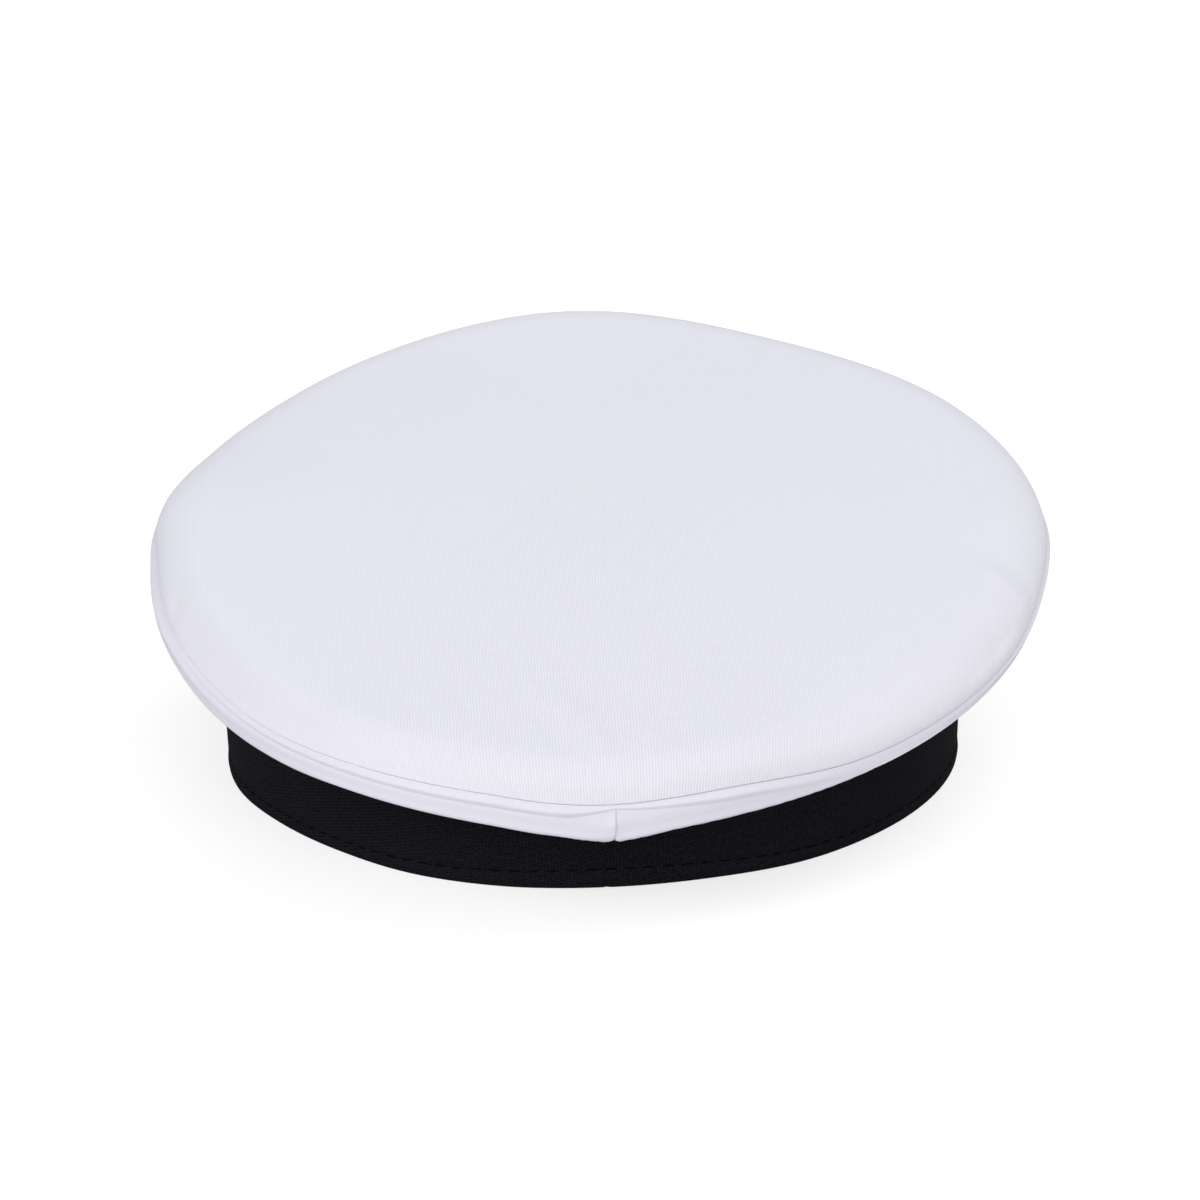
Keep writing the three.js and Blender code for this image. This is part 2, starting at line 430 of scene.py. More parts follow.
def ring_object(name: str, points: np.ndarray, uv: np.ndarray) -> bpy.types.Object:
    """Makes a closed body from profile loops that go all the way round.

    Args:
        name: The piece's name.
        points: Loops by points by three, in metres. The last loop lies on the first.
        uv: Cloth coordinates of the same points, in metres.

    Returns:
        The new object, with smooth faces that point outwards.
    """
    loops, size = points.shape[:2]
    here = np.arange((loops - 1) * size).reshape(loops - 1, size)
    there = here + size
    quads = np.stack([here, there, np.roll(there, -1, axis=1), np.roll(here, -1, axis=1)], axis=-1)
    mesh = bpy.data.meshes.new(name)
    mesh.from_pydata(points.reshape(-1, 3).tolist(), [], quads.reshape(-1, 4).tolist())
    layer = mesh.uv_layers.new(name=CLOTH_UV)
    layer.data.foreach_set("uv", uv.reshape(-1, 2)[quads.reshape(-1)].astype(np.float32).ravel())
    work = bmesh.new()
    work.from_mesh(mesh)
    bmesh.ops.remove_doubles(work, verts=work.verts, dist=WELD)
    work.to_mesh(mesh)
    work.free()
    mesh.polygons.foreach_set("use_smooth", np.ones(len(mesh.polygons), bool))
    mesh.update()
    piece = bpy.data.objects.new(name, mesh)
    bpy.context.scene.collection.objects.link(piece)
    return piece


def start_tree(
    name: str, sizes: dict[str, float]
) -> tuple[bpy.types.NodeTree, dict[str, bpy.types.NodeSocket]]:
    """Starts a Geometry Nodes tree with a named input for each size.

    Args:
        name: The tree's name.
        sizes: The inputs' names and values.

    Returns:
        The tree, and the sockets that its inputs come in by.
    """
    tree = bpy.data.node_groups.new(name, "GeometryNodeTree")
    tree.interface.new_socket("Geometry", in_out="OUTPUT", socket_type="NodeSocketGeometry")
    tree.interface.new_socket("Geometry", in_out="INPUT", socket_type="NodeSocketGeometry")
    for size in sizes:
        tree.interface.new_socket(size, in_out="INPUT", socket_type="NodeSocketFloat")
    entry = add_node(tree, "NodeGroupInput")
    return tree, {socket.name: socket for socket in entry.outputs if socket.name}


def grow(
    name: str,
    base: bpy.types.Mesh,
    tree: bpy.types.NodeTree,
    shape: bpy.types.NodeSocket,
    sizes: dict[str, float],
    cloth: bpy.types.Material,
) -> bpy.types.Object:
    """Ends a Geometry Nodes tree, runs it and keeps what it makes as a plain mesh.

    Args:
        name: The piece's name.
        base: The mesh that the tree starts from.
        tree: The tree.
        shape: The socket that holds the finished shape.
        sizes: The values of the tree's inputs.
        cloth: The piece's material.

    Returns:
        The piece, with no modifier left.
    """
    smooth = add_node(tree, "GeometryNodeSetShadeSmooth", inputs={"Geometry": shape}).outputs[0]
    real = add_node(tree, "GeometryNodeRealizeInstances", inputs={"Geometry": smooth}).outputs[0]
    dressed = add_node(
        tree, "GeometryNodeSetMaterial", inputs={"Geometry": real, "Material": cloth}
    ).outputs[0]
    add_node(tree, "NodeGroupOutput", inputs={"Geometry": dressed})
    piece = bpy.data.objects.new(name, base)
    modifier = piece.modifiers.new(name, "NODES")
    modifier.node_group = tree
    for item in tree.interface.items_tree:
        if item.in_out == "INPUT" and item.name in sizes:
            modifier[item.identifier] = sizes[item.name]
    bpy.context.scene.collection.objects.link(piece)
    graph = bpy.context.evaluated_depsgraph_get()
    mesh = bpy.data.meshes.new_from_object(
        piece.evaluated_get(graph), preserve_all_data_layers=True, depsgraph=graph
    )
    piece.modifiers.remove(modifier)
    piece.data = mesh
    mesh.name = name
    return piece


@dataclass(frozen=True)
class TwillFinish:
    """Woven cotton twill: matt, with fine ribs that catch the light and a little fuzz.

    Attributes:
        name: What the material is.
        thread: Colour of the threads that stand up.
        valley_shade: Painted shade between the ribs: the darker colour that the weave's low parts are
            painted.
        rib_mm: Distance between ribs, drawn a little coarser than the real weave so that it shows.
        rib_turn_deg: How far the ribs turn from the cloth's length.
        rib_depth_mm: How deep the weave is.
        rib_share: How much of the colours' range the ribs take.
        cross_mm: Distance between the threads that cross the ribs, drawn coarser in the same way.
        cross_turn_deg: How far those threads turn from the cloth's width.
        cross_share: How much of the range they take.
        wobble: How far the threads stray from straight, in radians of their wave.
        wobble_detail: How many sizes of wobble there are.
        wobble_scale: How short the wobble is.
        slub_mm: Length of the uneven stretches of thread.
        slub_share: How much of the range those stretches take.
        slub_detail: How many sizes of them there are.
        blotch_mm: Size of the soft unevenness of the dye.
        blotch_share: How much the dye varies.
        blotch_detail: How many sizes of blotch there are.
        slack_mm: From where to where along the cloth the ribs come to stand at their full height.
        taut_share: How much of the ribs is left where the cloth is pulled flat.
        side_mm: From where to where across the cloth the ribs flatten towards its sides.
        side_share: How much of the ribs is left there.
        patch_mm: Size of the patches in which the ribs stand higher or lower.
        patch_range: The least and the greatest height in those patches.
        roughness: The threads' roughness.
        roughness_spread: How much the roughness varies from thread to thread.
        sheen: Strength of the fuzz.
        sheen_roughness: How widely the fuzz spreads the light.
        specular: Strength of the threads' gloss.
    """

    name: str
    thread: str
    valley_shade: str
    rib_mm: float
    rib_turn_deg: float
    rib_depth_mm: float
    rib_share: float = 0.62
    cross_mm: float = 1.0
    cross_turn_deg: float = 0.0
    cross_share: float = 0.0
    wobble: float = 0.5
    wobble_detail: float = 2.0
    wobble_scale: float = 0.35
    slub_mm: float = 3.0
    slub_share: float = 0.15
    slub_detail: float = 2.0
    blotch_mm: float = 45.0
    blotch_share: float = 0.12
    blotch_detail: float = 3.0
    slack_mm: tuple[float, float] = (-1.0, 0.0)
    taut_share: float = 1.0
    side_mm: tuple[float, float] = (0.0, 1.0)
    side_share: float = 1.0
    patch_mm: float = 28.0
    patch_range: tuple[float, float] = (0.75, 1.25)
    roughness: float = 0.88
    roughness_spread: float = 0.06
    sheen: float = 0.1
    sheen_roughness: float = 0.5
    specular: float = 0.2

    def material(self) -> bpy.types.Material:
        """Builds the material's nodes.

        Returns:
            The material.
        """
        cloth = bpy.data.materials.new(self.name)
        cloth.use_nodes = True
        tree = cloth.node_tree
        tree.nodes.clear()
        place = add_node(tree, "ShaderNodeUVMap", {"uv_map": CLOTH_UV}).outputs["UV"]
        turns, waves = [], []
        for turn_deg, pitch_mm, direction in (
            (self.rib_turn_deg, self.rib_mm, "X"),
            (self.cross_turn_deg, self.cross_mm, "Y"),
        ):
            turned = add_node(
                tree,
                "ShaderNodeMapping",
                inputs={"Vector": place, "Rotation": (0, 0, math.radians(turn_deg))},
            ).outputs["Vector"]
            # A wave texture's bands repeat every tenth of pi at scale 1.
            scale = math.pi / 10 / (pitch_mm * MM)
            wave = add_node(
                tree,
                "ShaderNodeTexWave",
                {"wave_type": "BANDS", "bands_direction": direction, "wave_profile": "SIN"},
                {
                    "Vector": turned,
                    "Scale": scale,
                    "Distortion": self.wobble,
                    "Detail": self.wobble_detail,
                    "Detail Scale": self.wobble_scale,
                },
            ).outputs["Fac"]
            turns.append(turned)
            waves.append(wave)
        stretched = add_node(
            tree,
            "ShaderNodeMapping",
            inputs={"Vector": turns[0], "Scale": (1 / (self.rib_mm * MM), 1 / (self.slub_mm * MM), 1)},
        ).outputs["Vector"]
        slubs = add_node(
            tree,
            "ShaderNodeTexNoise",
            inputs={"Vector": stretched, "Scale": 1.0, "Detail": self.slub_detail},
        ).outputs["Fac"]
        slubs = add_node(
            tree,
            "ShaderNodeMapRange",
            inputs={"Value": slubs, "From Min": NOISE_LOW, "From Max": NOISE_HIGH},
        ).outputs["Result"]
        blotches = add_node(
            tree,
            "ShaderNodeTexNoise",
            inputs={"Vector": place, "Scale": 1 / (self.blotch_mm * MM), "Detail": self.blotch_detail},
        ).outputs["Fac"]
        split = add_node(tree, "ShaderNodeSeparateXYZ", inputs={"Vector": place})
        slack = add_node(
            tree,
            "ShaderNodeMapRange",
            inputs={
                "Value": split.outputs["Y"],
                "From Min": self.slack_mm[0] * MM,
                "From Max": self.slack_mm[1] * MM,
                "To Min": self.taut_share,
            },
        ).outputs["Result"]
        aside = add_node(
            tree, "ShaderNodeMath", {"operation": "ABSOLUTE"}, {0: split.outputs["X"]}
        ).outputs[0]
        flat = add_node(
            tree,
            "ShaderNodeMapRange",
            inputs={
                "Value": aside,
                "From Min": self.side_mm[0] * MM,
                "From Max": self.side_mm[1] * MM,
                "To Min": 1.0,
                "To Max": self.side_share,
            },
        ).outputs["Result"]
        patches = add_node(
            tree, "ShaderNodeTexNoise", inputs={"Vector": place, "Scale": 1 / (self.patch_mm * MM)}
        ).outputs["Fac"]
        patches = add_node(
            tree,
            "ShaderNodeMapRange",
            inputs={
                "Value": patches,
                "From Min": NOISE_LOW,
                "From Max": NOISE_HIGH,
                "To Min": self.patch_range[0],
                "To Max": self.patch_range[1],
            },
        ).outputs["Result"]
        strength = add_node(
            tree, "ShaderNodeMath", {"operation": "MULTIPLY"}, {0: slack, 1: patches}
        ).outputs[0]
        strength = add_node(
            tree, "ShaderNodeMath", {"operation": "MULTIPLY"}, {0: strength, 1: flat}
        ).outputs[0]
        parts = ((waves[0], self.rib_share), (waves[1], self.cross_share), (slubs, self.slub_share))
        weave: bpy.types.NodeSocket | float = -sum(share for _, share in parts) / 2
        for part, share in parts:
            weave = add_node(
                tree, "ShaderNodeMath", {"operation": "MULTIPLY_ADD"}, {0: part, 1: share, 2: weave}
            ).outputs[0]
        height = add_node(
            tree, "ShaderNodeMath", {"operation": "MULTIPLY_ADD"}, {0: weave, 1: strength, 2: 0.5}
        ).outputs[0]
        dye = add_node(
            tree,
            "ShaderNodeMapRange",
            {"clamp": False},
            {"Value": blotches, "To Min": -self.blotch_share / 2, "To Max": self.blotch_share / 2},
        ).outputs["Result"]
        # The weave's height and the dye's blotches pick the colour: low parts of the weave take the darker
        # colour, painted shade between the ribs.
        rib_shade_and_dye = add_node(tree, "ShaderNodeMath", {"operation": "ADD"}, {0: height, 1: dye}).outputs[0]
        colour = add_node(
            tree,
            "ShaderNodeMix",
            {"data_type": "RGBA", "clamp_factor": False},
            {"Factor": rib_shade_and_dye, 6: linear(self.valley_shade), 7: linear(self.thread)},
        ).outputs[2]
        bump = add_node(
            tree,
            "ShaderNodeBump",
            inputs={"Strength": 1.0, "Distance": self.rib_depth_mm * MM, "Height": height},
        ).outputs["Normal"]
        rough = add_node(
            tree,
            "ShaderNodeMapRange",
            inputs={
                "Value": slubs,
                "To Min": self.roughness - self.roughness_spread,
                "To Max": min(1.0, self.roughness + self.roughness_spread),
            },
        ).outputs["Result"]
        shader = add_node(
            tree,
            "ShaderNodeBsdfPrincipled",
            inputs={
                "Base Color": colour,
                "Roughness": rough,
                "Normal": bump,
                "IOR": FIBRE_IOR,
                "Specular IOR Level": self.specular,
                "Sheen Weight": self.sheen,
                "Sheen Roughness": self.sheen_roughness,
            },
        ).outputs["BSDF"]
        add_node(tree, "ShaderNodeOutputMaterial", inputs={"Surface": shader})
        return cloth


@dataclass(frozen=True)
class ThreadFinish:
    """Spun sewing thread: dark, slightly glossy along its twist.

    Attributes:
        name: What the material is.
        colour: Its colour where the light falls on it.
        shadow: Its colour between the plies.
        ply_mm: Distance between the plies.
        ply_detail: How many sizes of ply there are.
        roughness: Its roughness.
        specular: Strength of its gloss.
    """

    name: str
    colour: str
    shadow: str
    ply_mm: float = 0.5
    ply_detail: float = 1.0
    roughness: float = 0.7
    specular: float = 0.2

    def material(self) -> bpy.types.Material:
        """Builds the material's nodes.

        Returns:
            The material.
        """
        thread = bpy.data.materials.new(self.name)
        thread.use_nodes = True
        tree = thread.node_tree
        tree.nodes.clear()
        place = add_node(tree, "ShaderNodeTexCoord").outputs["Object"]
        plies = add_node(
            tree,
            "ShaderNodeTexNoise",
            inputs={"Vector": place, "Scale": 1 / (self.ply_mm * MM), "Detail": self.ply_detail},
        ).outputs["Fac"]
        colour = add_node(tree, "ShaderNodeValToRGB", inputs={"Fac": plies})
        low, high = colour.color_ramp.elements
        low.color, high.color = linear(self.shadow), linear(self.colour)
        shader = add_node(
            tree,
            "ShaderNodeBsdfPrincipled",
            inputs={
                "Base Color": colour.outputs["Color"],
                "Roughness": self.roughness,
                "IOR": FIBRE_IOR,
                "Specular IOR Level": self.specular,
            },
        ).outputs["BSDF"]
        add_node(tree, "ShaderNodeOutputMaterial", inputs={"Surface": shader})
        return thread


# The top's twill is backed with foam and pulled smooth, so its ribs run straight from front to back as fine
# lines, plainest near the back, where they face the eye.
WHITE_TOP_TWILL = TwillFinish(
    "white cotton twill, foam-backed",
    "#e0e1ea",
    # Painted shade between the ribs.
    "#cccdd9",
    rib_mm=0.72,
    rib_turn_deg=0,
    rib_depth_mm=0.1,
    slack_mm=(-70.0, 95.0),
    taut_share=0.2,
    side_mm=(15.0, 75.0),
    side_share=0.45,
    patch_range=(0.85, 1.15),
)
# The side's twill is cut on the slant, so its ribs lean, and they show only as a faint grain.
# Its second colour is painted shade between the ribs.
WHITE_SIDE_TWILL = TwillFinish(
    "white cotton twill", "#d8d8e4", "#d2d2de", rib_mm=0.6, rib_turn_deg=40, rib_depth_mm=0.03
)
# Black twill drinks most of the light, and its steep ribs leave a speckle of paler threads.
BLACK_TWILL = TwillFinish(
    "black cotton twill",
    "#1f1e26",
    # Painted near-black shade between the ribs.
    "#020203",
    rib_mm=0.75,
    rib_turn_deg=0,
    rib_depth_mm=0.1,
    rib_share=0.35,
    cross_mm=0.8,
    cross_turn_deg=-15,
    cross_share=0.35,
    slub_mm=0.9,
    slub_share=0.6,
    sheen=0.0,
    specular=0.06,
)
# Black thread sunk into the cloth reads as short dashes, darker than the twill: the thread is black, and its
# colour is also painted darker as painted shade in the sunk stitch line.
BLACK_THREAD = ThreadFinish("black polyester thread", "#0b0b0e", "#050507", roughness=0.9, specular=0.02)


def dress(piece: bpy.types.Object, cloth: bpy.types.Material, slot: Slot, *nodes: str) -> None:
    """Gives a piece its material, hangs it under the body, hides the frame's nodes that it replaces and logs
    its faces.

    Args:
        piece: The piece.
        cloth: Its material.
        slot: The record's slot that the material belongs to. It is not used.
        nodes: The frame's nodes that the piece replaces.
    """
    piece.data.materials.clear()
    piece.data.materials.append(cloth)
    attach(piece, BODY)
    if nodes:
        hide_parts(*nodes)
    LOG.info("%s: %d faces", piece.name, len(piece.data.polygons))


@dataclass(frozen=True)
class Dent:
    """A soft crease in the padded top, from one point to another, in millimetres.

    Attributes:
        start: Where it starts, as X and Y.
        end: Where it ends.
        width: Half its width.
        depth: How deep it is. A negative depth is a soft swell.
    """

    start: tuple[float, float]
    end: tuple[float, float]
    width: float
    depth: float

    def at(self, x: np.ndarray, y: np.ndarray) -> np.ndarray:
        """Gives the dent's depth at each point."""
        along = np.array(self.end) - np.array(self.start)
        share = ((x - self.start[0]) * along[0] + (y - self.start[1]) * along[1]) / (along @ along)
        share = np.clip(share, 0, 1)
        gap = np.hypot(x - self.start[0] - share * along[0], y - self.start[1] - share * along[1])
        return self.depth * bell(gap, self.width)


@dataclass
class CrownTop:
    """The padded top panel: a tilted, slightly domed disc whose soft edge rolls down to the rim seam.

    Attributes:
        place: Where the hat stands in the frame.
        wall: Thickness of the twill with its foam.
        dome: How far the middle rises above the edge.
        shoulder: Height of the edge above the rim seam, before it rolls down.
        shoulder_width: How far in from the seam the edge starts to roll down.
        slump: How far the edge sinks at the back.
        slump_deg: How far that reaches to each side.
        slump_power: How close to the edge it keeps.
        turn_share: How far across the edge it turns down at the sides of the back.
        turn_late: How much further across it turns down at the middle of the back.
        turn_fade_deg: From where to where that extra fades out.
        turn_soft: How softly it turns.
        side_start: How far across the edge the round sides start to fall.
        plus_fade_deg: From where to where the slanted edge becomes the round one, towards +X.
        minus_fade_deg: The same towards -X.
        rise_power: How close to the edge the rim seam's rise shows.
        roll_share: Share of the fall that the last roll above the seam takes.
        roll_power: How tight that roll is.
        dent_fade: From where to where the dents fade out, as shares of the seam's radius.
        flat_steps, shoulder_steps: Rings on the flat and on the edge.
        roll_steps, inner_steps: Rings round the rolled lip and on the inner face.
        fill: How full the padding is. It is not used.
        dents: Soft creases and swells.
    """

    place: Place
    wall: float = 3.0
    dome: float = 4.0
    shoulder: float = 8.5
    shoulder_width: float = 17.0
    slump: float = 1.8
    slump_deg: float = 60.0
    slump_power: float = 3.0
    turn_share: float = 0.59
    turn_late: float = 0.13
    turn_fade_deg: tuple[float, float] = (30.0, 75.0)
    turn_soft: float = 0.08
    side_start: float = 0.2
    plus_fade_deg: tuple[float, float] = (65.0, 95.0)
    minus_fade_deg: tuple[float, float] = (8.0, 48.0)
    rise_power: float = 5.0
    roll_share: float = 0.38
    roll_power: float = 24.0
    dent_fade: tuple[float, float] = (0.985, 1.0)
    flat_steps: int = 40
    shoulder_steps: int = 56
    roll_steps: int = 5
    inner_steps: int = 24
    fill: float = 0.9
    # At the back centre, on the -X shoulder, on the +X shoulder and along the back edge.
    dents: tuple[Dent, ...] = (
        Dent((9.5, 86), (0, 106), width=2.6, depth=-0.45),
        Dent((18, 90), (8.5, 108), width=2.8, depth=0.35),
        Dent((-98.5, 28), (-104.5, 36.5), width=4.0, depth=0.2),
        Dent((-96, 35), (-104, 42.5), width=4.0, depth=-0.35),
        Dent((-97, 38), (-94, 46), width=6.0, depth=-0.3),
        Dent((-98.5, 52.5), (-99.5, 53.5), width=1.4, depth=0.4),
        Dent((-97, 57), (-95, 60), width=3.5, depth=0.4),
        Dent((-95, 58), (-87, 71), width=4.0, depth=0.3),
        Dent((-100, 4), (-101, 12), width=6.0, depth=-0.35),
        Dent((102, 26), (102, 29), width=2.0, depth=0.4),
        Dent((63, 90), (54, 96), width=7.0, depth=-0.35),
        Dent((29, 106), (30, 110), width=2.0, depth=0.25),
        Dent((24, 109), (4, 112), width=7.0, depth=-0.3),
        Dent((-7, 108), (-8, 113), width=2.2, depth=0.3),
        Dent((-15, 111), (-17, 111), width=5.0, depth=-0.3),
        Dent((-27, 107), (-29, 106), width=4.0, depth=-0.3),
    )

    def back_slump(self, bearing: np.ndarray) -> np.ndarray:
        """Gives how far the top has sunk at its edge, most at the back."""
        return self.slump * bell(np.degrees(from_back(bearing)), self.slump_deg)

    def flat_height(self, bearing: np.ndarray, radius: np.ndarray) -> np.ndarray:
        """Gives the top's height as if its edge didn't roll down."""
        share = radius / FORM.seam_radius(bearing)
        tilt = FORM.rim_tilt * np.cos(bearing) * share
        rise = FORM.around("rise", bearing) * share**self.rise_power
        sunk = self.back_slump(bearing) * share**self.slump_power
        return FORM.rim_height + self.shoulder - tilt + rise - sunk + self.dome * (1 - share**2)

    def fall(self, bearing: np.ndarray, share: np.ndarray) -> np.ndarray:
        """Gives how far the edge has rolled down.

        Args:
            bearing: One bearing for each profile.
            share: How far across the rolled edge, from 0 to 1.

        Returns:
            The fall, a row for each profile. The edge turns down late and slantwise at the back, rolling
            under only just above the seam, and is a quarter of an ellipse at the sides and the front.
        """
        away = np.degrees(from_back(bearing))[:, None]
        plus, minus = smoothstep(away, *self.plus_fade_deg), smoothstep(-away, *self.minus_fade_deg)
        side = np.where(away > 0, plus, minus)
        turn = self.turn_share + self.turn_late * (1 - smoothstep(np.abs(away), *self.turn_fade_deg))
        start, bend, end = (np.logaddexp(0, (at - turn) / self.turn_soft) for at in (0.0, share, 1.0))
        rolled = (self.roll_share * (1 - FORM.tightness(bearing)))[:, None]
        slant = (1 - rolled) * (bend - start) / (end - start) + rolled * share**self.roll_power
        round_share = np.clip((share - self.side_start) / (1 - self.side_start), 0, 1)
        depth = self.shoulder - (self.back_slump(bearing) + FORM.seam_lip(bearing))[:, None] - FORM.lip_gap
        return depth * ((1 - side) * slant + side * (1 - np.sqrt(1 - round_share**2)))

    def outer(self, bearing: np.ndarray) -> tuple[np.ndarray, np.ndarray]:
        """Works out the outer face's profiles.

        Args:
            bearing: One bearing for each profile.

        Returns:
            Radii and heights from the middle out to the rim seam, a row for each profile.
        """
        turn = bearing[:, None]
        seam = FORM.seam_radius(turn)
        flat = (seam - self.shoulder_width) * np.linspace(0, 1, self.flat_steps, endpoint=False)
        share = np.sin(np.linspace(0, math.pi / 2, self.shoulder_steps))
        radius = np.concatenate([flat, seam - self.shoulder_width * (1 - share)], axis=1)
        height = self.flat_height(turn, radius)
        height[:, self.flat_steps :] -= self.fall(bearing, share)
        return radius, height

    def build(self) -> bpy.types.Object:
        """Makes the panel with its dents, its rolled edge and its inner face.

        Returns:
            The panel.
        """
        bearing = all_bearings()
        turn = bearing[:, None]
        radius, height = self.outer(bearing)
        out, up = profile_normals(radius, height)
        x, y = radius * np.sin(turn), radius * np.cos(turn)
        depth = sum(dent.at(x, y) for dent in self.dents)
        depth = depth * (1 - smoothstep(radius / FORM.seam_radius(turn), *self.dent_fade))
        radius, height = radius - depth * out, height - depth * up
        roll = np.linspace(0, math.pi / 2, self.roll_steps + 1)[1:]
        lip = FORM.seam_lip(turn)
        rolled_r = radius[:, -1:] - lip * (1 - np.cos(roll))
        rolled_h = height[:, -1:] - lip * np.sin(roll)
        picked = np.unique(np.linspace(0, radius.shape[1] - 1, self.inner_steps).astype(int))[::-1]
        inner_r = np.maximum(radius - self.wall * out, 0.0)[:, picked]
        inner_h = (height - self.wall * up)[:, picked]
        inner_r[:, -1] = 0.0
        inner_h[:, -1] = height[:, 0].mean() - self.wall
        height[:, 0] = height[:, 0].mean()
        loop_r = np.concatenate([radius, rolled_r, inner_r], axis=1)
        loop_h = np.concatenate([height, rolled_h, inner_h], axis=1)
        length = lengths(loop_r, loop_h)
        uv = np.stack([length * np.sin(turn), length * np.cos(turn)], axis=-1) * MM
        points = self.place.metres(on_bearings(bearing, loop_r, loop_h))
        return ring_object("crown_top_panel", points, uv)

    def dress(self, panel: bpy.types.Object) -> None:
        """Covers the panel in foam-backed twill."""
        dress(panel, WHITE_TOP_TWILL.material(), Slot.WHITE, "crown_top")


@dataclass(frozen=True)
class PanelKnot:
    """A knot of the side panel's profile between the rim seam and the fold.

    Attributes:
        inward: Share of the way in from the crown's reach to the fold.
        down: Share of the way down from the seam to the fold.
    """

    inward: float
    down: float


@dataclass(frozen=True)
class PanelFace:
    """One face of the side panel.

    Attributes:
        least_fold: How far at least the fold lies inside the crown's reach, in millimetres.
        knots: The profile's knots, from the rim seam down.
    """

    least_fold: float
    knots: tuple[PanelKnot, ...]


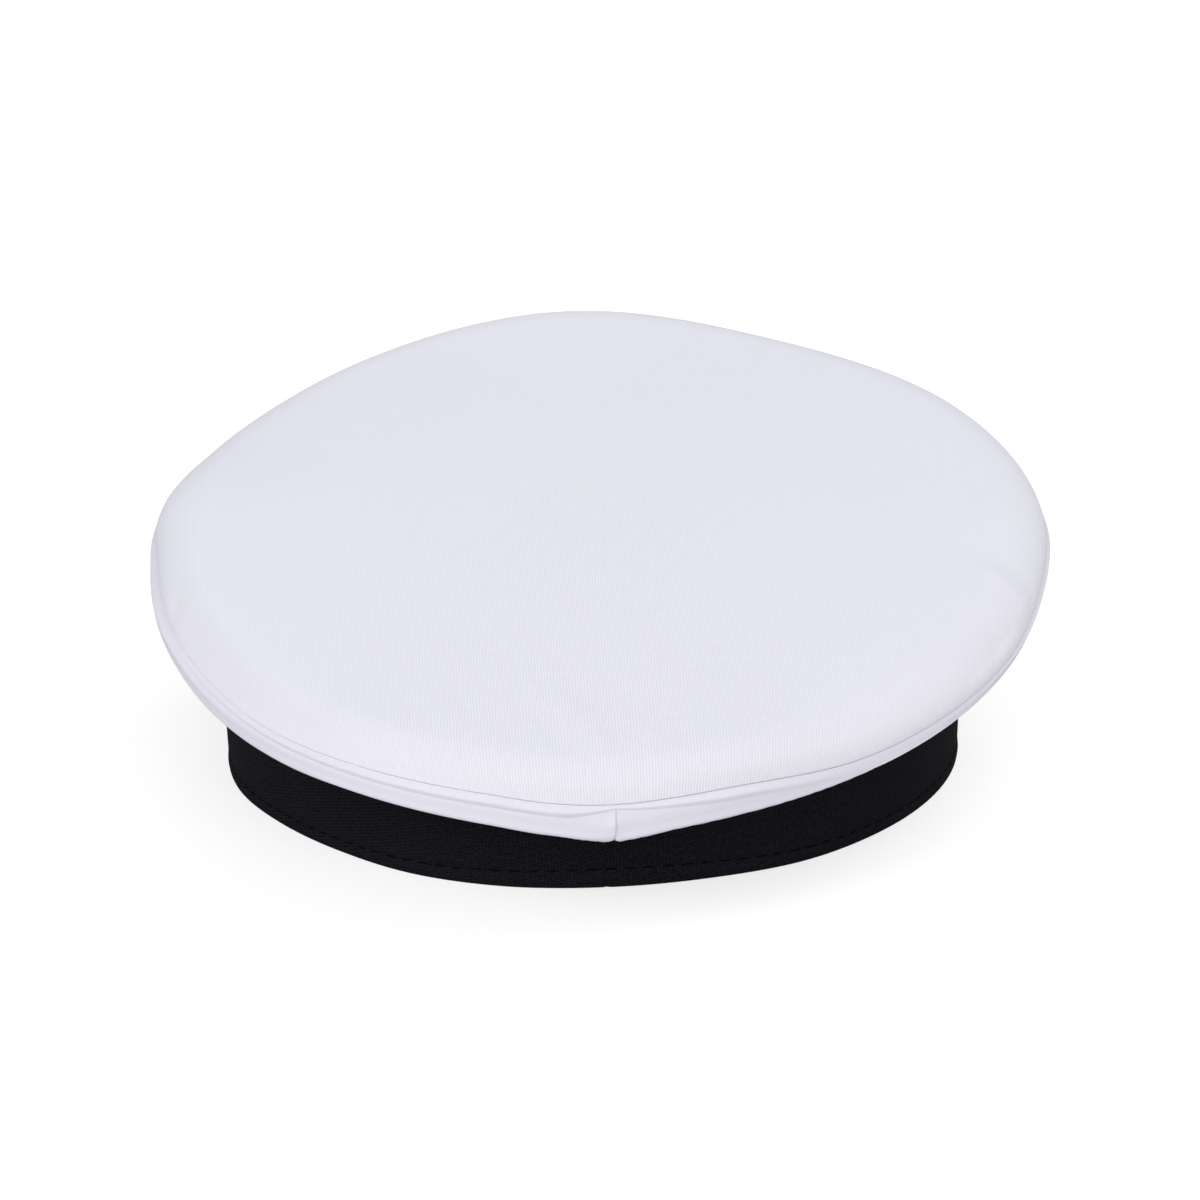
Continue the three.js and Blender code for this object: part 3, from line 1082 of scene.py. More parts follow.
@dataclass
class CrownSide:
    """The side panel: from the rim seam down, folded under, and back in to the band's top edge.

    Attributes:
        place: Where the hat stands in the frame.
        wall: Thickness of the panel.
        roll_steps: Rings round the rolled lip.
        band_gap: Gap above the band's top edge.
        outer_face: The face that shows, with a sharp fold.
        inner_face: The face inside, with a round fold that stays behind the outer one.
        fold_round: How far behind the fold the underside is still level.
        fold_tuck: How far behind the lowest knot it has become level.
        neck_rise: Height above the band's top edge at which the underside comes in to the band.
        neck_out: How far outside the band it is there.
        under_share: Share of that height that the underside has climbed halfway in.
        knot_steps: Steps from one knot to the next.
        ridge_rings, step_rings, panel_rings: Rings on the ridge, on the step below it and on the rest.
        step_share: From where to where the step goes, as shares of the ridge's width.
        inner_every: Every how many rings the inner face has one.
        ridge_slope: How steeply the ridge stands out.
        ridge_end: From where to where it falls back again, as shares of its width.
        pinch: Share of the ridge's width that the back seam takes away.
        pinch_plus_deg, pinch_minus_deg: How far that reaches towards +X and towards -X.
        seam_depth, seam_width: Depth and half width of the back seam's groove.
        seam_start: Where the groove starts, across the back.
        seam_lean: How far it leans over on its way down.
        seam_bend: From where to where it leans, down from the rim seam.
        seam_top: From where to where it deepens, down from the rim seam.
        swell: Height of the swell beside the back seam.
        swell_at, swell_width: Where it lies across the back, and half its width.
        swell_top, swell_foot: From where to where it rises and falls, down from the rim seam.
        swell_lap: Half the width of its step at the seam.
        back_point: How far the lower edge hangs down in a point at the back seam.
        back_point_deg: How far that reaches to each side.
        notch, notch_at_deg, notch_deg: Depth, place and half width of the notch in that point.
    """

    place: Place
    wall: float = 1.4
    roll_steps: int = 5
    band_gap: float = 0.3
    outer_face: PanelFace = PanelFace(
        least_fold=-2.0,
        knots=(
            PanelKnot(inward=0.0, down=0.45),
            PanelKnot(inward=0.08, down=0.72),
            PanelKnot(inward=0.17, down=0.98),
            PanelKnot(inward=0.22, down=1.0),
        ),
    )
    inner_face: PanelFace = PanelFace(
        least_fold=2.5,
        knots=(
            PanelKnot(inward=0.0, down=0.45),
            PanelKnot(inward=0.1, down=0.66),
            PanelKnot(inward=0.22, down=0.9),
            PanelKnot(inward=0.5, down=0.99),
        ),
    )
    fold_round: float = 1.5
    fold_tuck: float = 0.4
    neck_rise: float = 2.2
    neck_out: float = 1.0
    under_share: float = 0.55
    knot_steps: int = 24
    ridge_rings: int = 12
    step_rings: int = 22
    step_share: tuple[float, float] = (0.5, 1.45)
    panel_rings: int = 76
    inner_every: int = 6
    ridge_slope: float = 0.45
    ridge_end: tuple[float, float] = (0.55, 1.4)
    pinch: float = 0.7
    pinch_plus_deg: float = 5.2
    pinch_minus_deg: float = 12.5
    seam_depth: float = 0.4
    seam_width: float = 0.14
    seam_start: float = -0.4
    seam_lean: float = 0.6
    seam_bend: tuple[float, float] = (5.5, 9.5)
    seam_top: tuple[float, float] = (0.7, 1.6)
    swell: float = 0.5
    swell_at: float = 1.0
    swell_width: float = 4.0
    swell_top: tuple[float, float] = (2.5, 5.0)
    swell_foot: tuple[float, float] = (6.5, 9.0)
    swell_lap: float = 0.3
    back_point: float = 1.3
    back_point_deg: float = 7.0
    notch: float = 0.45
    notch_at_deg: float = 0.1
    notch_deg: float = 0.45

    def path(self, bearing: np.ndarray, face: PanelFace) -> tuple[np.ndarray, np.ndarray]:
        """Works out the panel's profiles without their fine detail.

        Args:
            bearing: One bearing for each profile.
            face: Which face.

        Returns:
            Radii and heights from the rim seam to the band, a row for each profile.
        """
        seam_r, seam_h = FORM.seam_radius(bearing), FORM.seam_height(bearing)
        reach, band_r = FORM.reach(bearing), FORM.band_radius(bearing)
        away = np.degrees(from_back(bearing))
        point = self.back_point * np.clip(1 - np.abs(away) / self.back_point_deg, 0, 1)
        notch = self.notch * bell(away - self.notch_at_deg, self.notch_deg)
        drop = FORM.around("drop", bearing) + point - notch
        fold = np.maximum(FORM.around("fold", bearing), face.least_fold)
        fold_r, fold_h = reach - fold, seam_h - drop
        band_top = FORM.band_foot(bearing) + FORM.band_height
        neck_h = band_top + self.neck_rise
        knots = [
            (seam_r, seam_h - FORM.seam_lip(bearing) - FORM.lip_gap),
            *((reach - knot.inward * fold, seam_h - knot.down * drop) for knot in face.knots),
            (reach - face.knots[-1].inward * fold - self.fold_tuck, fold_h),
            (fold_r - self.fold_round, fold_h),
            ((fold_r + band_r) / 2, fold_h + self.under_share * (neck_h - fold_h)),
            (band_r + self.neck_out, neck_h),
            (band_r - self.wall / 2, band_top + self.band_gap),
        ]
        rows = np.stack([np.stack(knot, axis=-1) for knot in knots], axis=1)
        line = through_knots(rows, self.knot_steps)
        return self.in_rings(bearing, line[..., 0], line[..., 1])

    def ridge_width(self, bearing: np.ndarray) -> np.ndarray:
        """Gives the ridge's width, which the back seam pinches."""
        away = np.degrees(from_back(bearing))
        far_deg = np.where(away > 0, self.pinch_plus_deg, self.pinch_minus_deg)
        near = np.clip(1 - np.abs(away) / far_deg, 0, 1)
        return FORM.around("ridge_wide", bearing) * (1 - self.pinch * near)

    def in_rings(
        self, bearing: np.ndarray, radius: np.ndarray, height: np.ndarray
    ) -> tuple[np.ndarray, np.ndarray]:
        """Spaces the points of each profile so that rings of them follow the ridge's edge.

        Args:
            bearing: One bearing for each profile.
            radius: Radii along each profile.
            height: Heights along each profile.

        Returns:
            Radii and heights of the newly spaced points.
        """
        start, end = self.step_share
        over = np.linspace(0, start, self.ridge_rings, endpoint=False)
        down = np.linspace(start, end, self.step_rings, endpoint=False)
        rest = np.linspace(0, 1, self.panel_rings)
        width = self.ridge_width(bearing)
        length = lengths(radius, height)
        new_radius, new_height = [], []
        for wide, along, r, h in zip(width, length, radius, height):
            at = np.concatenate([wide * over, wide * down, wide * end + (along[-1] - wide * end) * rest])
            new_radius.append(np.interp(at, along, r))
            new_height.append(np.interp(at, along, h))
        return np.array(new_radius), np.array(new_height)

    def relief(self, bearing: np.ndarray, length: np.ndarray) -> np.ndarray:
        """Gives how far the sewn detail stands out from the panel.

        Args:
            bearing: One bearing for each profile.
            length: Length along each profile from the rim seam.

        Returns:
            The ridge below the rim seam and the swell on one side of the back seam, less the back seam's
            groove.
        """
        away = from_back(bearing)[:, None]
        width = self.ridge_width(bearing)[:, None]
        sewn = FORM.around("ridge", bearing)[:, None]
        ridge = sewn * self.ridge_slope * length * (1 - smoothstep(length / width, *self.ridge_end))
        across = away * FORM.reach(bearing)[:, None]
        across = across - self.seam_start - self.seam_lean * smoothstep(length, *self.seam_bend)
        groove = self.seam_depth * bell(across, self.seam_width) * smoothstep(length, *self.seam_top)
        lapped = smoothstep(across, -self.swell_lap, self.swell_lap)
        swollen = smoothstep(length, *self.swell_top) - smoothstep(length, *self.swell_foot)
        swell = self.swell * bell(across - self.swell_at, self.swell_width) * lapped * swollen
        return ridge + swell - groove

    def build(self) -> bpy.types.Object:
        """Makes the panel with its ridge, its back seam and its inner face.

        Returns:
            The panel.
        """
        bearing = all_bearings()
        inner = slice(None, None, -self.inner_every)
        radius, height = self.path(bearing, self.inner_face)
        out, up = profile_normals(radius, height)
        inner_r, inner_h = (radius - self.wall * out)[:, inner], (height - self.wall * up)[:, inner]
        radius, height = self.path(bearing, self.outer_face)
        out, up = profile_normals(radius, height)
        relief = self.relief(bearing, lengths(radius, height))
        radius, height = radius + relief * out, height + relief * up
        roll = np.linspace(math.pi / 2, 0, self.roll_steps + 1)[:-1]
        lip = FORM.seam_lip(bearing)[:, None]
        rolled_r = radius[:, :1] - lip * (1 - np.cos(roll))
        rolled_h = height[:, :1] + lip * np.sin(roll)
        loop_r = np.concatenate([rolled_r, radius, inner_r], axis=1)
        loop_h = np.concatenate([rolled_h, height, inner_h], axis=1)
        around = bearing * float(FORM.reach(bearing).mean())
        uv = np.stack(np.broadcast_arrays(around[:, None], lengths(loop_r, loop_h)), axis=-1) * MM
        points = self.place.metres(on_bearings(bearing, loop_r, loop_h))
        return ring_object("crown_side_panel", points, uv)

    def dress(self, panel: bpy.types.Object) -> None:
        """Covers the panel in twill and says what strip it was cut from."""
        dress(panel, WHITE_SIDE_TWILL.material(), Slot.WHITE, "crown_side")
        bearing = all_bearings()
        around = FULL_TURN * float(FORM.reach(bearing).mean()) * MM
        width = float(lengths(*self.path(bearing, self.outer_face))[:, -1].mean()) * MM
        LOG.info("side panel strip: %.0f by %.0f mm", width / MM, around / MM)


@dataclass
class Band:
    """The head band: a stiffened strip of twill with a turned hem, stitched along its lower edge.

    Attributes:
        place: Where the hat stands in the frame.
        wall: Thickness of the band.
        hem_round: Radius of its lower edge.
        face_steps, inner_face_steps: Rings on the outer face and on the inner face.
        round_steps: Rings round each side of the lower edge.
        stitch_rise: Height of the stitches above the lower edge.
        stitch_rise_back: How much higher they are at the back seam.
        stitch_back_deg: How far that reaches to each side.
        groove_depth, groove_width: Depth and half width of the groove that the stitches pull.
        hem_swell, hem_swell_width: Height and half width of the swell below them.
        flare: How far the sides lean outwards over the band's height.
        flare_pivot: Share of the height at which they keep to the outline.
        seam_deg: Where the back seam lies.
        seam_depth, seam_width: Depth and half width of its groove.
        stitch_length, stitch_gap: Length of a stitch, and the gap to the next.
        thread_radius: Radius of the thread.
        stitch_path_points: Points on the line that the stitches follow.
        thread_sides, thread_rings: Sides and rings of a stitch.
    """

    place: Place
    wall: float = 2.5
    hem_round: float = 0.5
    face_steps: int = 48
    inner_face_steps: int = 8
    round_steps: int = 6
    stitch_rise: float = 3.0
    stitch_rise_back: float = 1.7
    stitch_back_deg: float = 24.0
    groove_depth: float = 0.3
    groove_width: float = 0.8
    hem_swell: float = 0.25
    hem_swell_width: float = 1.2
    flare: float = 1.2
    flare_pivot: float = 0.6
    seam_deg: float = 0.7
    seam_depth: float = 0.35
    seam_width: float = 0.6
    stitch_length: float = 3.4
    stitch_gap: float = 1.2
    thread_radius: float = 0.25
    stitch_path_points: int = 480
    thread_sides: int = 6
    thread_rings: int = 4

    def stitch_height(self, bearing: np.ndarray) -> np.ndarray:
        """Gives the stitches' height above the lower edge, which climbs a little towards the back seam."""
        away = np.degrees(from_back(bearing))
        return self.stitch_rise + self.stitch_rise_back * bell(away, self.stitch_back_deg)

    def relief(self, bearing: np.ndarray, above: np.ndarray) -> np.ndarray:
        """Gives how far the sewn detail stands out from the band's face.

        Args:
            bearing: One bearing for each profile.
            above: Height above the band's lower edge.

        Returns:
            The hem's swell and the sides' slight flare, less the groove that the stitches pull and the back
            seam's groove.
        """
        stitch = self.stitch_height(bearing)[:, None]
        groove = self.groove_depth * bell(above - stitch, self.groove_width)
        swell = self.hem_swell * bell(above - stitch / 2, self.hem_swell_width)
        across = (from_back(bearing) - math.radians(self.seam_deg)) * FORM.band_radius(bearing)
        seam = self.seam_depth * bell(across, self.seam_width)[:, None]
        flare = self.flare * (above / FORM.band_height - self.flare_pivot) * np.sin(bearing)[:, None] ** 2
        return swell + flare - groove - seam

    def build(self) -> bpy.types.Object:
        """Makes the band with its hem and its back seam.

        Returns:
            The band.
        """
        bearing = all_bearings()
        turn = np.ones((len(bearing), 1))
        above = np.linspace(FORM.band_height, self.hem_round, self.face_steps)[None, :] * turn
        base = FORM.band_radius(bearing)[:, None]
        radius = base + self.relief(bearing, above)
        angle = np.linspace(0, math.pi / 2, self.round_steps + 1)[None, 1:]
        hem_r = radius[:, -1:] - self.hem_round * (1 - np.cos(angle))
        hem_h = self.hem_round * (1 - np.sin(angle)) * turn
        inner_hem_r = base - self.wall + self.hem_round * (1 - np.sin(angle))
        inner_hem_h = self.hem_round * (1 - np.cos(angle)) * turn
        inner_h = np.linspace(self.hem_round, FORM.band_height, self.inner_face_steps)[None, 1:] * turn
        inner_r = (base - self.wall) * np.ones_like(inner_h)
        loop_r = np.concatenate([radius, hem_r, inner_hem_r, inner_r], axis=1)
        loop_h = np.concatenate([above, hem_h, inner_hem_h, inner_h], axis=1)
        around = bearing * float(base.mean())
        uv = np.stack(np.broadcast_arrays(around[:, None], lengths(loop_r, loop_h)), axis=-1) * MM
        loop_h = loop_h + FORM.band_foot(bearing)[:, None]
        points = self.place.metres(on_bearings(bearing, loop_r, loop_h))
        return ring_object("band_cloth", points, uv)

    def stitch_path(self) -> bpy.types.Mesh:
        """Draws the closed line that the hem's stitches follow.

        Returns:
            A mesh of edges only.
        """
        bearing = np.linspace(0, FULL_TURN, self.stitch_path_points, endpoint=False)
        above = self.stitch_height(bearing)[:, None]
        radius = FORM.band_radius(bearing)[:, None] + self.relief(bearing, above)
        points = on_bearings(bearing, radius, above + FORM.band_foot(bearing)[:, None])
        count = self.stitch_path_points
        mesh = bpy.data.meshes.new("stitch path")
        edges = [(i, (i + 1) % count) for i in range(count)]
        mesh.from_pydata(self.place.metres(points).reshape(-1, 3).tolist(), edges, [])
        return mesh

    def stitches(self, thread: bpy.types.Material) -> bpy.types.Object:
        """Sews the hem: a row of short threads along the stitch line.

        Args:
            thread: The thread's material.

        Returns:
            All the stitches as one piece.
        """
        sizes = {
            "Pitch": (self.stitch_length + self.stitch_gap) * MM,
            "Half length": self.stitch_length / 2 * MM,
            "Thread radius": self.thread_radius * MM,
        }
        tree, size = start_tree("hem stitches", sizes)
        line = add_node(tree, "GeometryNodeMeshToCurve", inputs={"Mesh": size["Geometry"]}).outputs["Curve"]
        spots = add_node(
            tree, "GeometryNodeCurveToPoints", {"mode": "LENGTH"}, {"Curve": line, "Length": size["Pitch"]}
        )
        stitch = add_node(
            tree,
            "GeometryNodeMeshUVSphere",
            inputs={"Segments": self.thread_sides, "Rings": self.thread_rings, "Radius": 1.0},
        ).outputs["Mesh"]
        scale = add_node(
            tree,
            "ShaderNodeCombineXYZ",
            inputs={"X": size["Thread radius"], "Y": size["Thread radius"], "Z": size["Half length"]},
        ).outputs["Vector"]
        row = add_node(
            tree,
            "GeometryNodeInstanceOnPoints",
            inputs={
                "Points": spots.outputs["Points"],
                "Instance": stitch,
                "Rotation": spots.outputs["Rotation"],
                "Scale": scale,
            },
        ).outputs["Instances"]
        return grow("band_stitches", self.stitch_path(), tree, row, sizes, thread)

    def dress(self, band: bpy.types.Object, cloth: bpy.types.Material) -> None:
        """Covers the band in twill, sews its hem and says what strip it was cut from.

        Args:
            band: The band.
            cloth: The twill that it shares with the peak.
        """
        dress(band, cloth, Slot.BLACK, "band")
        thread = BLACK_THREAD.material()
        stitches = self.stitches(thread)
        dress(stitches, thread, Slot.BLACK)
        around = FULL_TURN * float(FORM.band_radius(all_bearings()).mean()) * MM
        LOG.info("band strip: %.0f by %.0f mm", FORM.band_height, around / MM)


@dataclass(frozen=True)
class Sum:
    """One step of a shape's rule: a sum on inputs and earlier steps.

    Attributes:
        result: The name that later steps know the result by.
        operation: What the sum does.
        terms: Its numbers, or the names of inputs and earlier results.
    """

    result: str
    operation: str
    terms: tuple[str | float, ...]


@dataclass
class Peak:
    """The peak: a stiff crescent in the band's cloth, from the band's lower edge down to the table.

    Attributes:
        place: Where the hat stands in the frame.
        edge_radius: Radius of the outer edge.
        edge_centre: How far ahead of the band's middle that edge has its centre.
        half_angle_deg: How far round from the front the tips lie.
        root_thickness, edge_thickness: Thickness at the band and at the outer edge.
        edge_height: Height of the outer edge above the table.
        root_gap: Height of the root's underside above the band's lower edge.
        root_tuck: How far the root is sewn into the band's cloth.
        bend: How the peak curves down, where 1 is straight.
        round_share: Share of the way across in which the borders round off.
        weld: Points closer together than this are one.
        sections, loop_points: Points from tip to tip, and round each section.
    """

    place: Place
    edge_radius: float = 90.0
    edge_centre: float = 56.0
    half_angle_deg: float = 67.0
    root_thickness: float = 2.8
    edge_thickness: float = 1.8
    edge_height: float = 0.2
    root_gap: float = 0.3
    root_tuck: float = 0.5
    bend: float = 1.15
    round_share: float = 0.03
    weld: float = 0.001
    sections: int = 161
    loop_points: int = 97

    def sizes(self) -> dict[str, float]:
        """Lists the rule's inputs, in metres and radians."""
        return {
            "Half angle": math.radians(self.half_angle_deg),
            "Edge radius": self.edge_radius * MM,
            "Edge centre": self.edge_centre * MM,
            "Band side": FORM.band_oval.plus_x * MM,
            "Band front": FORM.band_oval.front * MM,
            "Root gap": self.root_gap * MM,
            "Root tuck": self.root_tuck * MM,
            "Front lift": FORM.front_lift * MM,
            "Lift start": FORM.lift_start,
            "Edge height": self.edge_height * MM,
            "Root thickness": self.root_thickness * MM,
            "Edge thickness": self.edge_thickness * MM,
            "Bend": self.bend,
            "Round share": self.round_share,
            "Middle X": self.place.x,
            "Middle Y": self.place.y,
        }

    @staticmethod
    def rule() -> tuple[Sum, ...]:
        """Gives the crescent's rule, from a flat grid's Across and Around to a point's X, Y and Z.

        Across goes from one tip to the other, and Around over the top from the root to the edge and back
        under. Both crowd their points together at the borders, where the thickness rounds off to nothing.

        Returns:
            The rule's steps in order.
        """
        return (
            Sum("swing", "MULTIPLY", ("Across", math.pi)),
            Sum("swing", "SINE", ("swing",)),
            Sum("angle", "MULTIPLY", ("swing", "Half angle")),
            Sum("sine", "SINE", ("angle",)),
            Sum("cosine", "COSINE", ("angle",)),
            Sum("fold", "MULTIPLY", ("Around", 2.0)),
            Sum("fold", "ABSOLUTE", ("fold",)),
            Sum("fold", "MULTIPLY_ADD", ("fold", -math.pi, math.pi)),
            Sum("fold", "COSINE", ("fold",)),
            Sum("out", "MULTIPLY_ADD", ("fold", -0.5, 0.5)),
            Sum("side", "SIGN", ("Around",)),
            Sum("ahead", "MULTIPLY", ("Edge centre", "cosine")),
            Sum("aside", "MULTIPLY", ("Edge centre", "sine")),
            Sum("aside", "POWER", ("aside", 2.0)),
            Sum("edge", "POWER", ("Edge radius", 2.0)),
            Sum("edge", "SUBTRACT", ("edge", "aside")),
            Sum("edge", "SQRT", ("edge",)),
            Sum("edge", "ADD", ("edge", "ahead")),
            Sum("wide", "DIVIDE", ("sine", "Band side")),
            Sum("wide", "POWER", ("wide", 2.0)),
            Sum("long", "DIVIDE", ("cosine", "Band front")),
            Sum("long", "POWER", ("long", 2.0)),
            Sum("root", "ADD", ("wide", "long")),
            Sum("root", "INVERSE_SQRT", ("root",)),
            Sum("root", "SUBTRACT", ("root", "Root tuck")),
            Sum("reach", "SUBTRACT", ("edge", "root")),
            Sum("radius", "MULTIPLY_ADD", ("reach", "out", "root")),
            Sum("lift", "SUBTRACT", ("cosine", "Lift start")),
            Sum("rest", "SUBTRACT", (1.0, "Lift start")),
            Sum("lift", "DIVIDE", ("lift", "rest")),
            Sum("lift", "MAXIMUM", ("lift", 0.0)),
            Sum("slow", "MULTIPLY_ADD", ("lift", -2.0, 3.0)),
            Sum("lift", "POWER", ("lift", 2.0)),
            Sum("lift", "MULTIPLY", ("lift", "slow")),
            Sum("foot", "MULTIPLY_ADD", ("lift", "Front lift", "Root gap")),
            Sum("sink", "SUBTRACT", ("Edge height", "foot")),
            Sum("bent", "POWER", ("out", "Bend")),
            Sum("under", "MULTIPLY_ADD", ("sink", "bent", "foot")),
            Sum("taper", "SUBTRACT", ("Edge thickness", "Root thickness")),
            Sum("thick", "MULTIPLY_ADD", ("taper", "out", "Root thickness")),
            Sum("half", "MULTIPLY", ("thick", 0.5)),
            Sum("inner", "SUBTRACT", (1.0, "out")),
            Sum("border", "MINIMUM", ("out", "inner")),
            Sum("tip", "ABSOLUTE", ("swing",)),
            Sum("tip", "SUBTRACT", (1.0, "tip")),
            Sum("border", "MINIMUM", ("border", "tip")),
            Sum("border", "DIVIDE", ("border", "Round share")),
            Sum("border", "MINIMUM", ("border", 1.0)),
            Sum("border", "SUBTRACT", (1.0, "border")),
            Sum("border", "POWER", ("border", 2.0)),
            Sum("border", "SUBTRACT", (1.0, "border")),
            Sum("border", "SQRT", ("border",)),
            Sum("stand", "MULTIPLY", ("border", "side")),
            Sum("stand", "MULTIPLY_ADD", ("stand", "half", "half")),
            Sum("Z", "ADD", ("under", "stand")),
            Sum("X", "MULTIPLY", ("radius", "sine")),
            Sum("X", "ADD", ("X", "Middle X")),
            Sum("Y", "MULTIPLY", ("radius", "cosine")),
            Sum("Y", "SUBTRACT", ("Middle Y", "Y")),
        )

    def build(self, cloth: bpy.types.Material) -> bpy.types.Object:
        """Makes the crescent by its rule.

        Args:
            cloth: The twill that it shares with the band.

        Returns:
            The peak.
        """
        sizes = self.sizes()
        tree, values = start_tree("peak crescent", sizes)
        grid = add_node(
            tree,
            "GeometryNodeMeshGrid",
            inputs={
                "Size X": 1.0,
                "Size Y": 1.0,
                "Vertices X": self.sections,
                "Vertices Y": self.loop_points,
            },
        ).outputs["Mesh"]
        spot = add_node(tree, "GeometryNodeInputPosition").outputs["Position"]
        split = add_node(tree, "ShaderNodeSeparateXYZ", inputs={"Vector": spot})
        values["Across"], values["Around"] = split.outputs["X"], split.outputs["Y"]
        for step in self.rule():
            terms = (values[term] if isinstance(term, str) else term for term in step.terms)
            node = add_node(tree, "ShaderNodeMath", {"operation": step.operation}, dict(enumerate(terms)))
            values[step.result] = node.outputs[0]
        point = add_node(
            tree, "ShaderNodeCombineXYZ", inputs={axis: values[axis] for axis in "XYZ"}
        ).outputs[0]
        shape = add_node(
            tree, "GeometryNodeSetPosition", inputs={"Geometry": grid, "Position": point}
        ).outputs[0]
        shape = add_node(
            tree, "GeometryNodeMergeByDistance", inputs={"Geometry": shape, "Distance": self.weld * MM}
        ).outputs[0]
        shape = add_node(
            tree,
            "GeometryNodeStoreNamedAttribute",
            {"data_type": "FLOAT2", "domain": "CORNER"},
            {"Geometry": shape, "Name": CLOTH_UV, "Value": spot},
        ).outputs[0]
        return grow("peak_cloth", bpy.data.meshes.new("peak start"), tree, shape, sizes, cloth)

    def dress(self, peak: bpy.types.Object, cloth: bpy.types.Material) -> None:
        """Covers the peak in the band's twill."""
        dress(peak, cloth, Slot.BLACK, "peak")


@dataclass(frozen=True)
class Softbox:
    """A soft square light that faces the hat.

    Attributes:
        name: The light's name.
        turn_deg: Where it hangs, from the back of the hat towards +X.
        rise_deg: How high it hangs.
        watts: Its power.
        distance: How far away it hangs, in metres.
        size: Its side, in metres.
        colour: Its colour.
    """

    name: str
    turn_deg: float
    rise_deg: float
    watts: float
    distance: float = 2.6
    size: float = 2.0
    colour: str = "#ffffff"

    def hang(self) -> None:
        """Puts the light into the scene."""
        turn, rise = math.radians(self.turn_deg), math.radians(self.rise_deg)
        way = Vector((math.sin(turn) * math.cos(rise), math.cos(turn) * math.cos(rise), math.sin(rise)))
        data = bpy.data.lights.new(self.name, "AREA")
        data.shape, data.size, data.energy = "SQUARE", self.size, self.watts
        data.color = linear(self.colour)[:3]
        light = bpy.data.objects.new(self.name, data)
        facing = (-way).to_track_quat("-Z", "Y").to_matrix().to_4x4()
        light.matrix_world = Matrix.Translation(way * self.distance) @ facing
        bpy.context.scene.collection.objects.link(light)


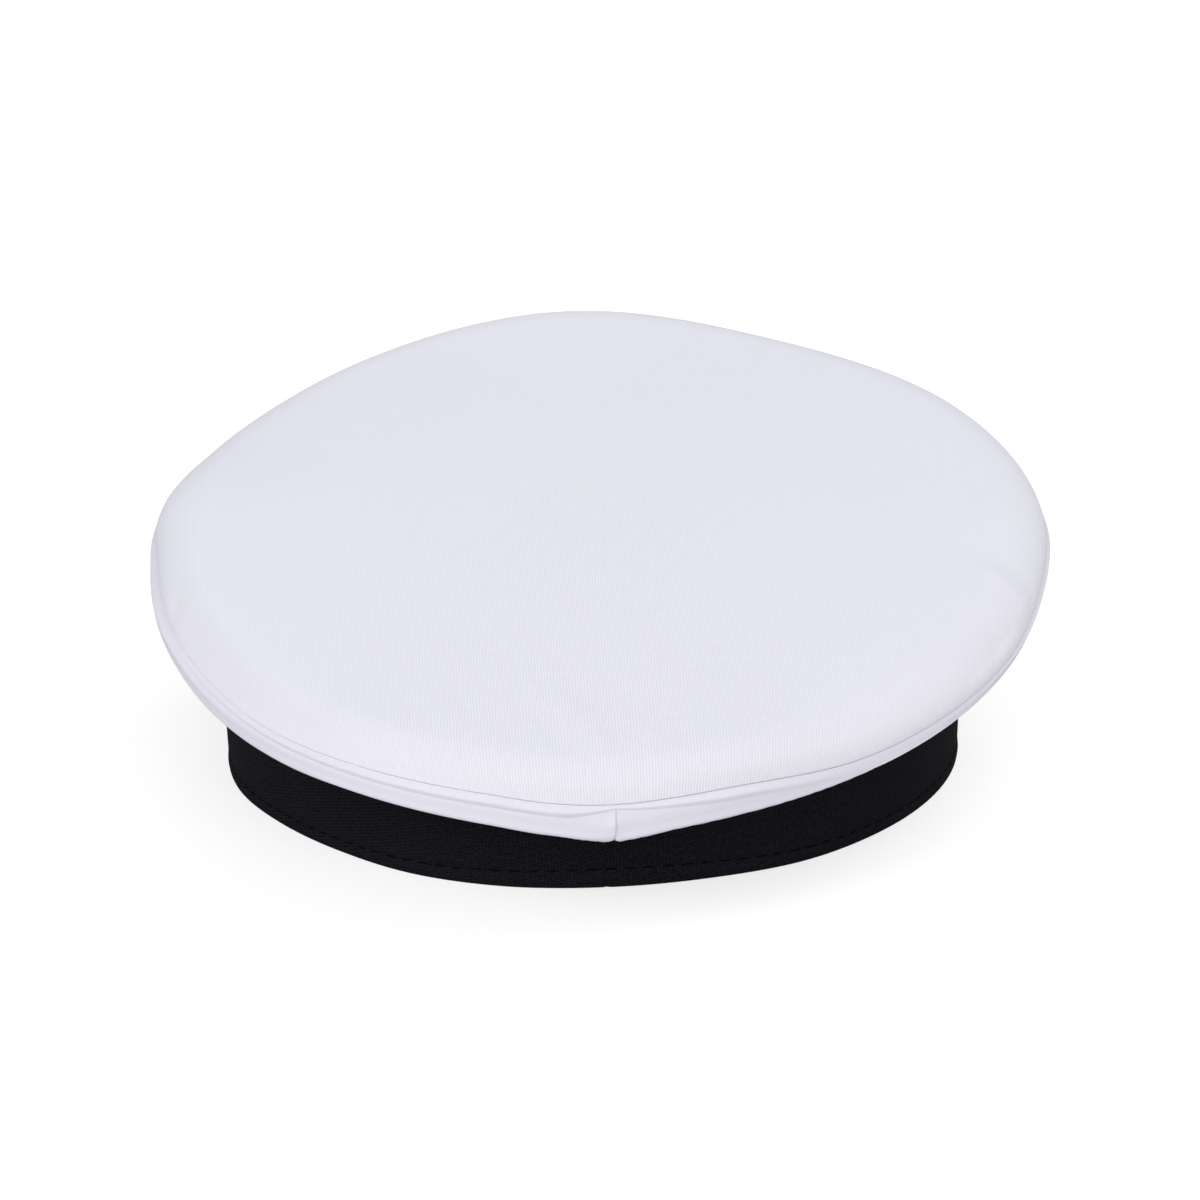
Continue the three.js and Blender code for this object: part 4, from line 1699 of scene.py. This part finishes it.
@dataclass
class Studio:
    """A pale floor, soft light and a camera at the photograph's viewing angle.

    Attributes:
        place: Where the hat stands in the frame.
        elevation_deg: How high the camera stands.
        yaw_deg: How far round from the back it stands, towards +X.
        roll_deg: How far it is turned about its own line of sight.
        distance_mm: How far it stands from what it looks at.
        lens_mm, sensor_mm: Its lens and the width of its sensor.
        target_mm: What it looks at, from the middle of the band's lower edge.
        floor_m: Side of the floor, in metres.
        paper: Colour of the floor's paper.
        paper_glow: How strongly the paper glows towards the camera.
        paper_roughness: The paper's roughness.
        sky: Colour of the light from all round.
        sky_strength: Its strength.
        softboxes: The lights.
    """

    place: Place
    elevation_deg: float = 20.0
    yaw_deg: float = 2.5
    roll_deg: float = -1.0
    distance_mm: float = 1300.0
    lens_mm: float = 155.2
    sensor_mm: float = 36.0
    target_mm: tuple[float, float, float] = (-3.0, -10.4, 35.0)
    floor_m: float = 8.0
    paper: str = "#c0c0c0"
    paper_glow: float = 0.62
    paper_roughness: float = 0.9
    sky: str = "#ffffff"
    sky_strength: float = 0.34
    softboxes: tuple[Softbox, ...] = (
        Softbox("back softbox", turn_deg=0.0, rise_deg=25.0, watts=38.0, colour="#fff9f6"),
        Softbox("left softbox", turn_deg=60.0, rise_deg=30.0, watts=31.0),
        Softbox("far right softbox", turn_deg=-120.0, rise_deg=45.0, watts=28.6),
        Softbox("far softbox", turn_deg=180.0, rise_deg=45.0, watts=8.5),
        Softbox("right softbox", turn_deg=-50.0, rise_deg=12.0, watts=4.5, size=1.0),
    )

    def camera(self) -> None:
        """Puts the camera behind the hat and above it, as in the photograph."""
        target = Vector(self.place.metres(np.array(self.target_mm)))
        rise, yaw = math.radians(self.elevation_deg), math.radians(self.yaw_deg)
        back = Vector((math.sin(yaw) * math.cos(rise), math.cos(yaw) * math.cos(rise), math.sin(rise)))
        data = bpy.data.cameras.new("camera")
        data.lens, data.sensor_width = self.lens_mm, self.sensor_mm
        camera = bpy.data.objects.new("camera", data)
        facing = (-back).to_track_quat("-Z", "Y").to_matrix().to_4x4()
        roll = Matrix.Rotation(math.radians(self.roll_deg), 4, "Z")
        camera.matrix_world = Matrix.Translation(target + back * self.distance_mm * MM) @ facing @ roll
        bpy.context.scene.collection.objects.link(camera)
        bpy.context.scene.camera = camera

    def floor(self) -> None:
        """Lays the pale floor."""
        half = self.floor_m / 2
        mesh = bpy.data.meshes.new("floor")
        corners = [(-half, -half, 0), (half, -half, 0), (half, half, 0), (-half, half, 0)]
        mesh.from_pydata(corners, [], [(0, 1, 2, 3)])
        floor = bpy.data.objects.new("floor", mesh)
        bpy.context.scene.collection.objects.link(floor)
        # Paper on a light table glows towards the eye, which keeps it pale and the shadow on it faint.
        paper = bpy.data.materials.new("pale backdrop paper")
        paper.use_nodes = True
        tree = paper.node_tree
        shader = tree.nodes["Principled BSDF"]
        shader.inputs["Base Color"].default_value = linear(self.paper)
        shader.inputs["Emission Color"].default_value = linear(self.sky)
        seen = add_node(tree, "ShaderNodeLightPath").outputs["Is Camera Ray"]
        glow = add_node(
            tree, "ShaderNodeMath", {"operation": "MULTIPLY"}, {0: seen, 1: self.paper_glow}
        ).outputs[0]
        tree.links.new(glow, shader.inputs["Emission Strength"])
        shader.inputs["Roughness"].default_value = self.paper_roughness
        shader.inputs["Specular IOR Level"].default_value = 0.0
        mesh.materials.append(paper)

    def build(self) -> None:
        """Sets up the whole studio."""
        self.camera()
        self.floor()
        for softbox in self.softboxes:
            softbox.hang()
        world = bpy.data.worlds.new("studio")
        world.use_nodes = True
        sky = world.node_tree.nodes["Background"]
        sky.inputs["Color"].default_value = linear(self.sky)
        sky.inputs["Strength"].default_value = self.sky_strength
        bpy.context.scene.world = world
        bpy.context.scene.view_settings.view_transform = "Standard"


def main() -> None:
    """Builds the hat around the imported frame, piece by piece."""
    logging.basicConfig(level=logging.INFO, format="%(name)s: %(message)s")
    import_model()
    place = Place.from_frame()
    Studio(place).build()
    black = BLACK_TWILL.material()
    top, side, band, peak = CrownTop(place), CrownSide(place), Band(place), Peak(place)
    top.dress(top.build())
    side.dress(side.build())
    band.dress(band.build(), black)
    peak.dress(peak.build(black), black)


if __name__ == "__main__":
    main()
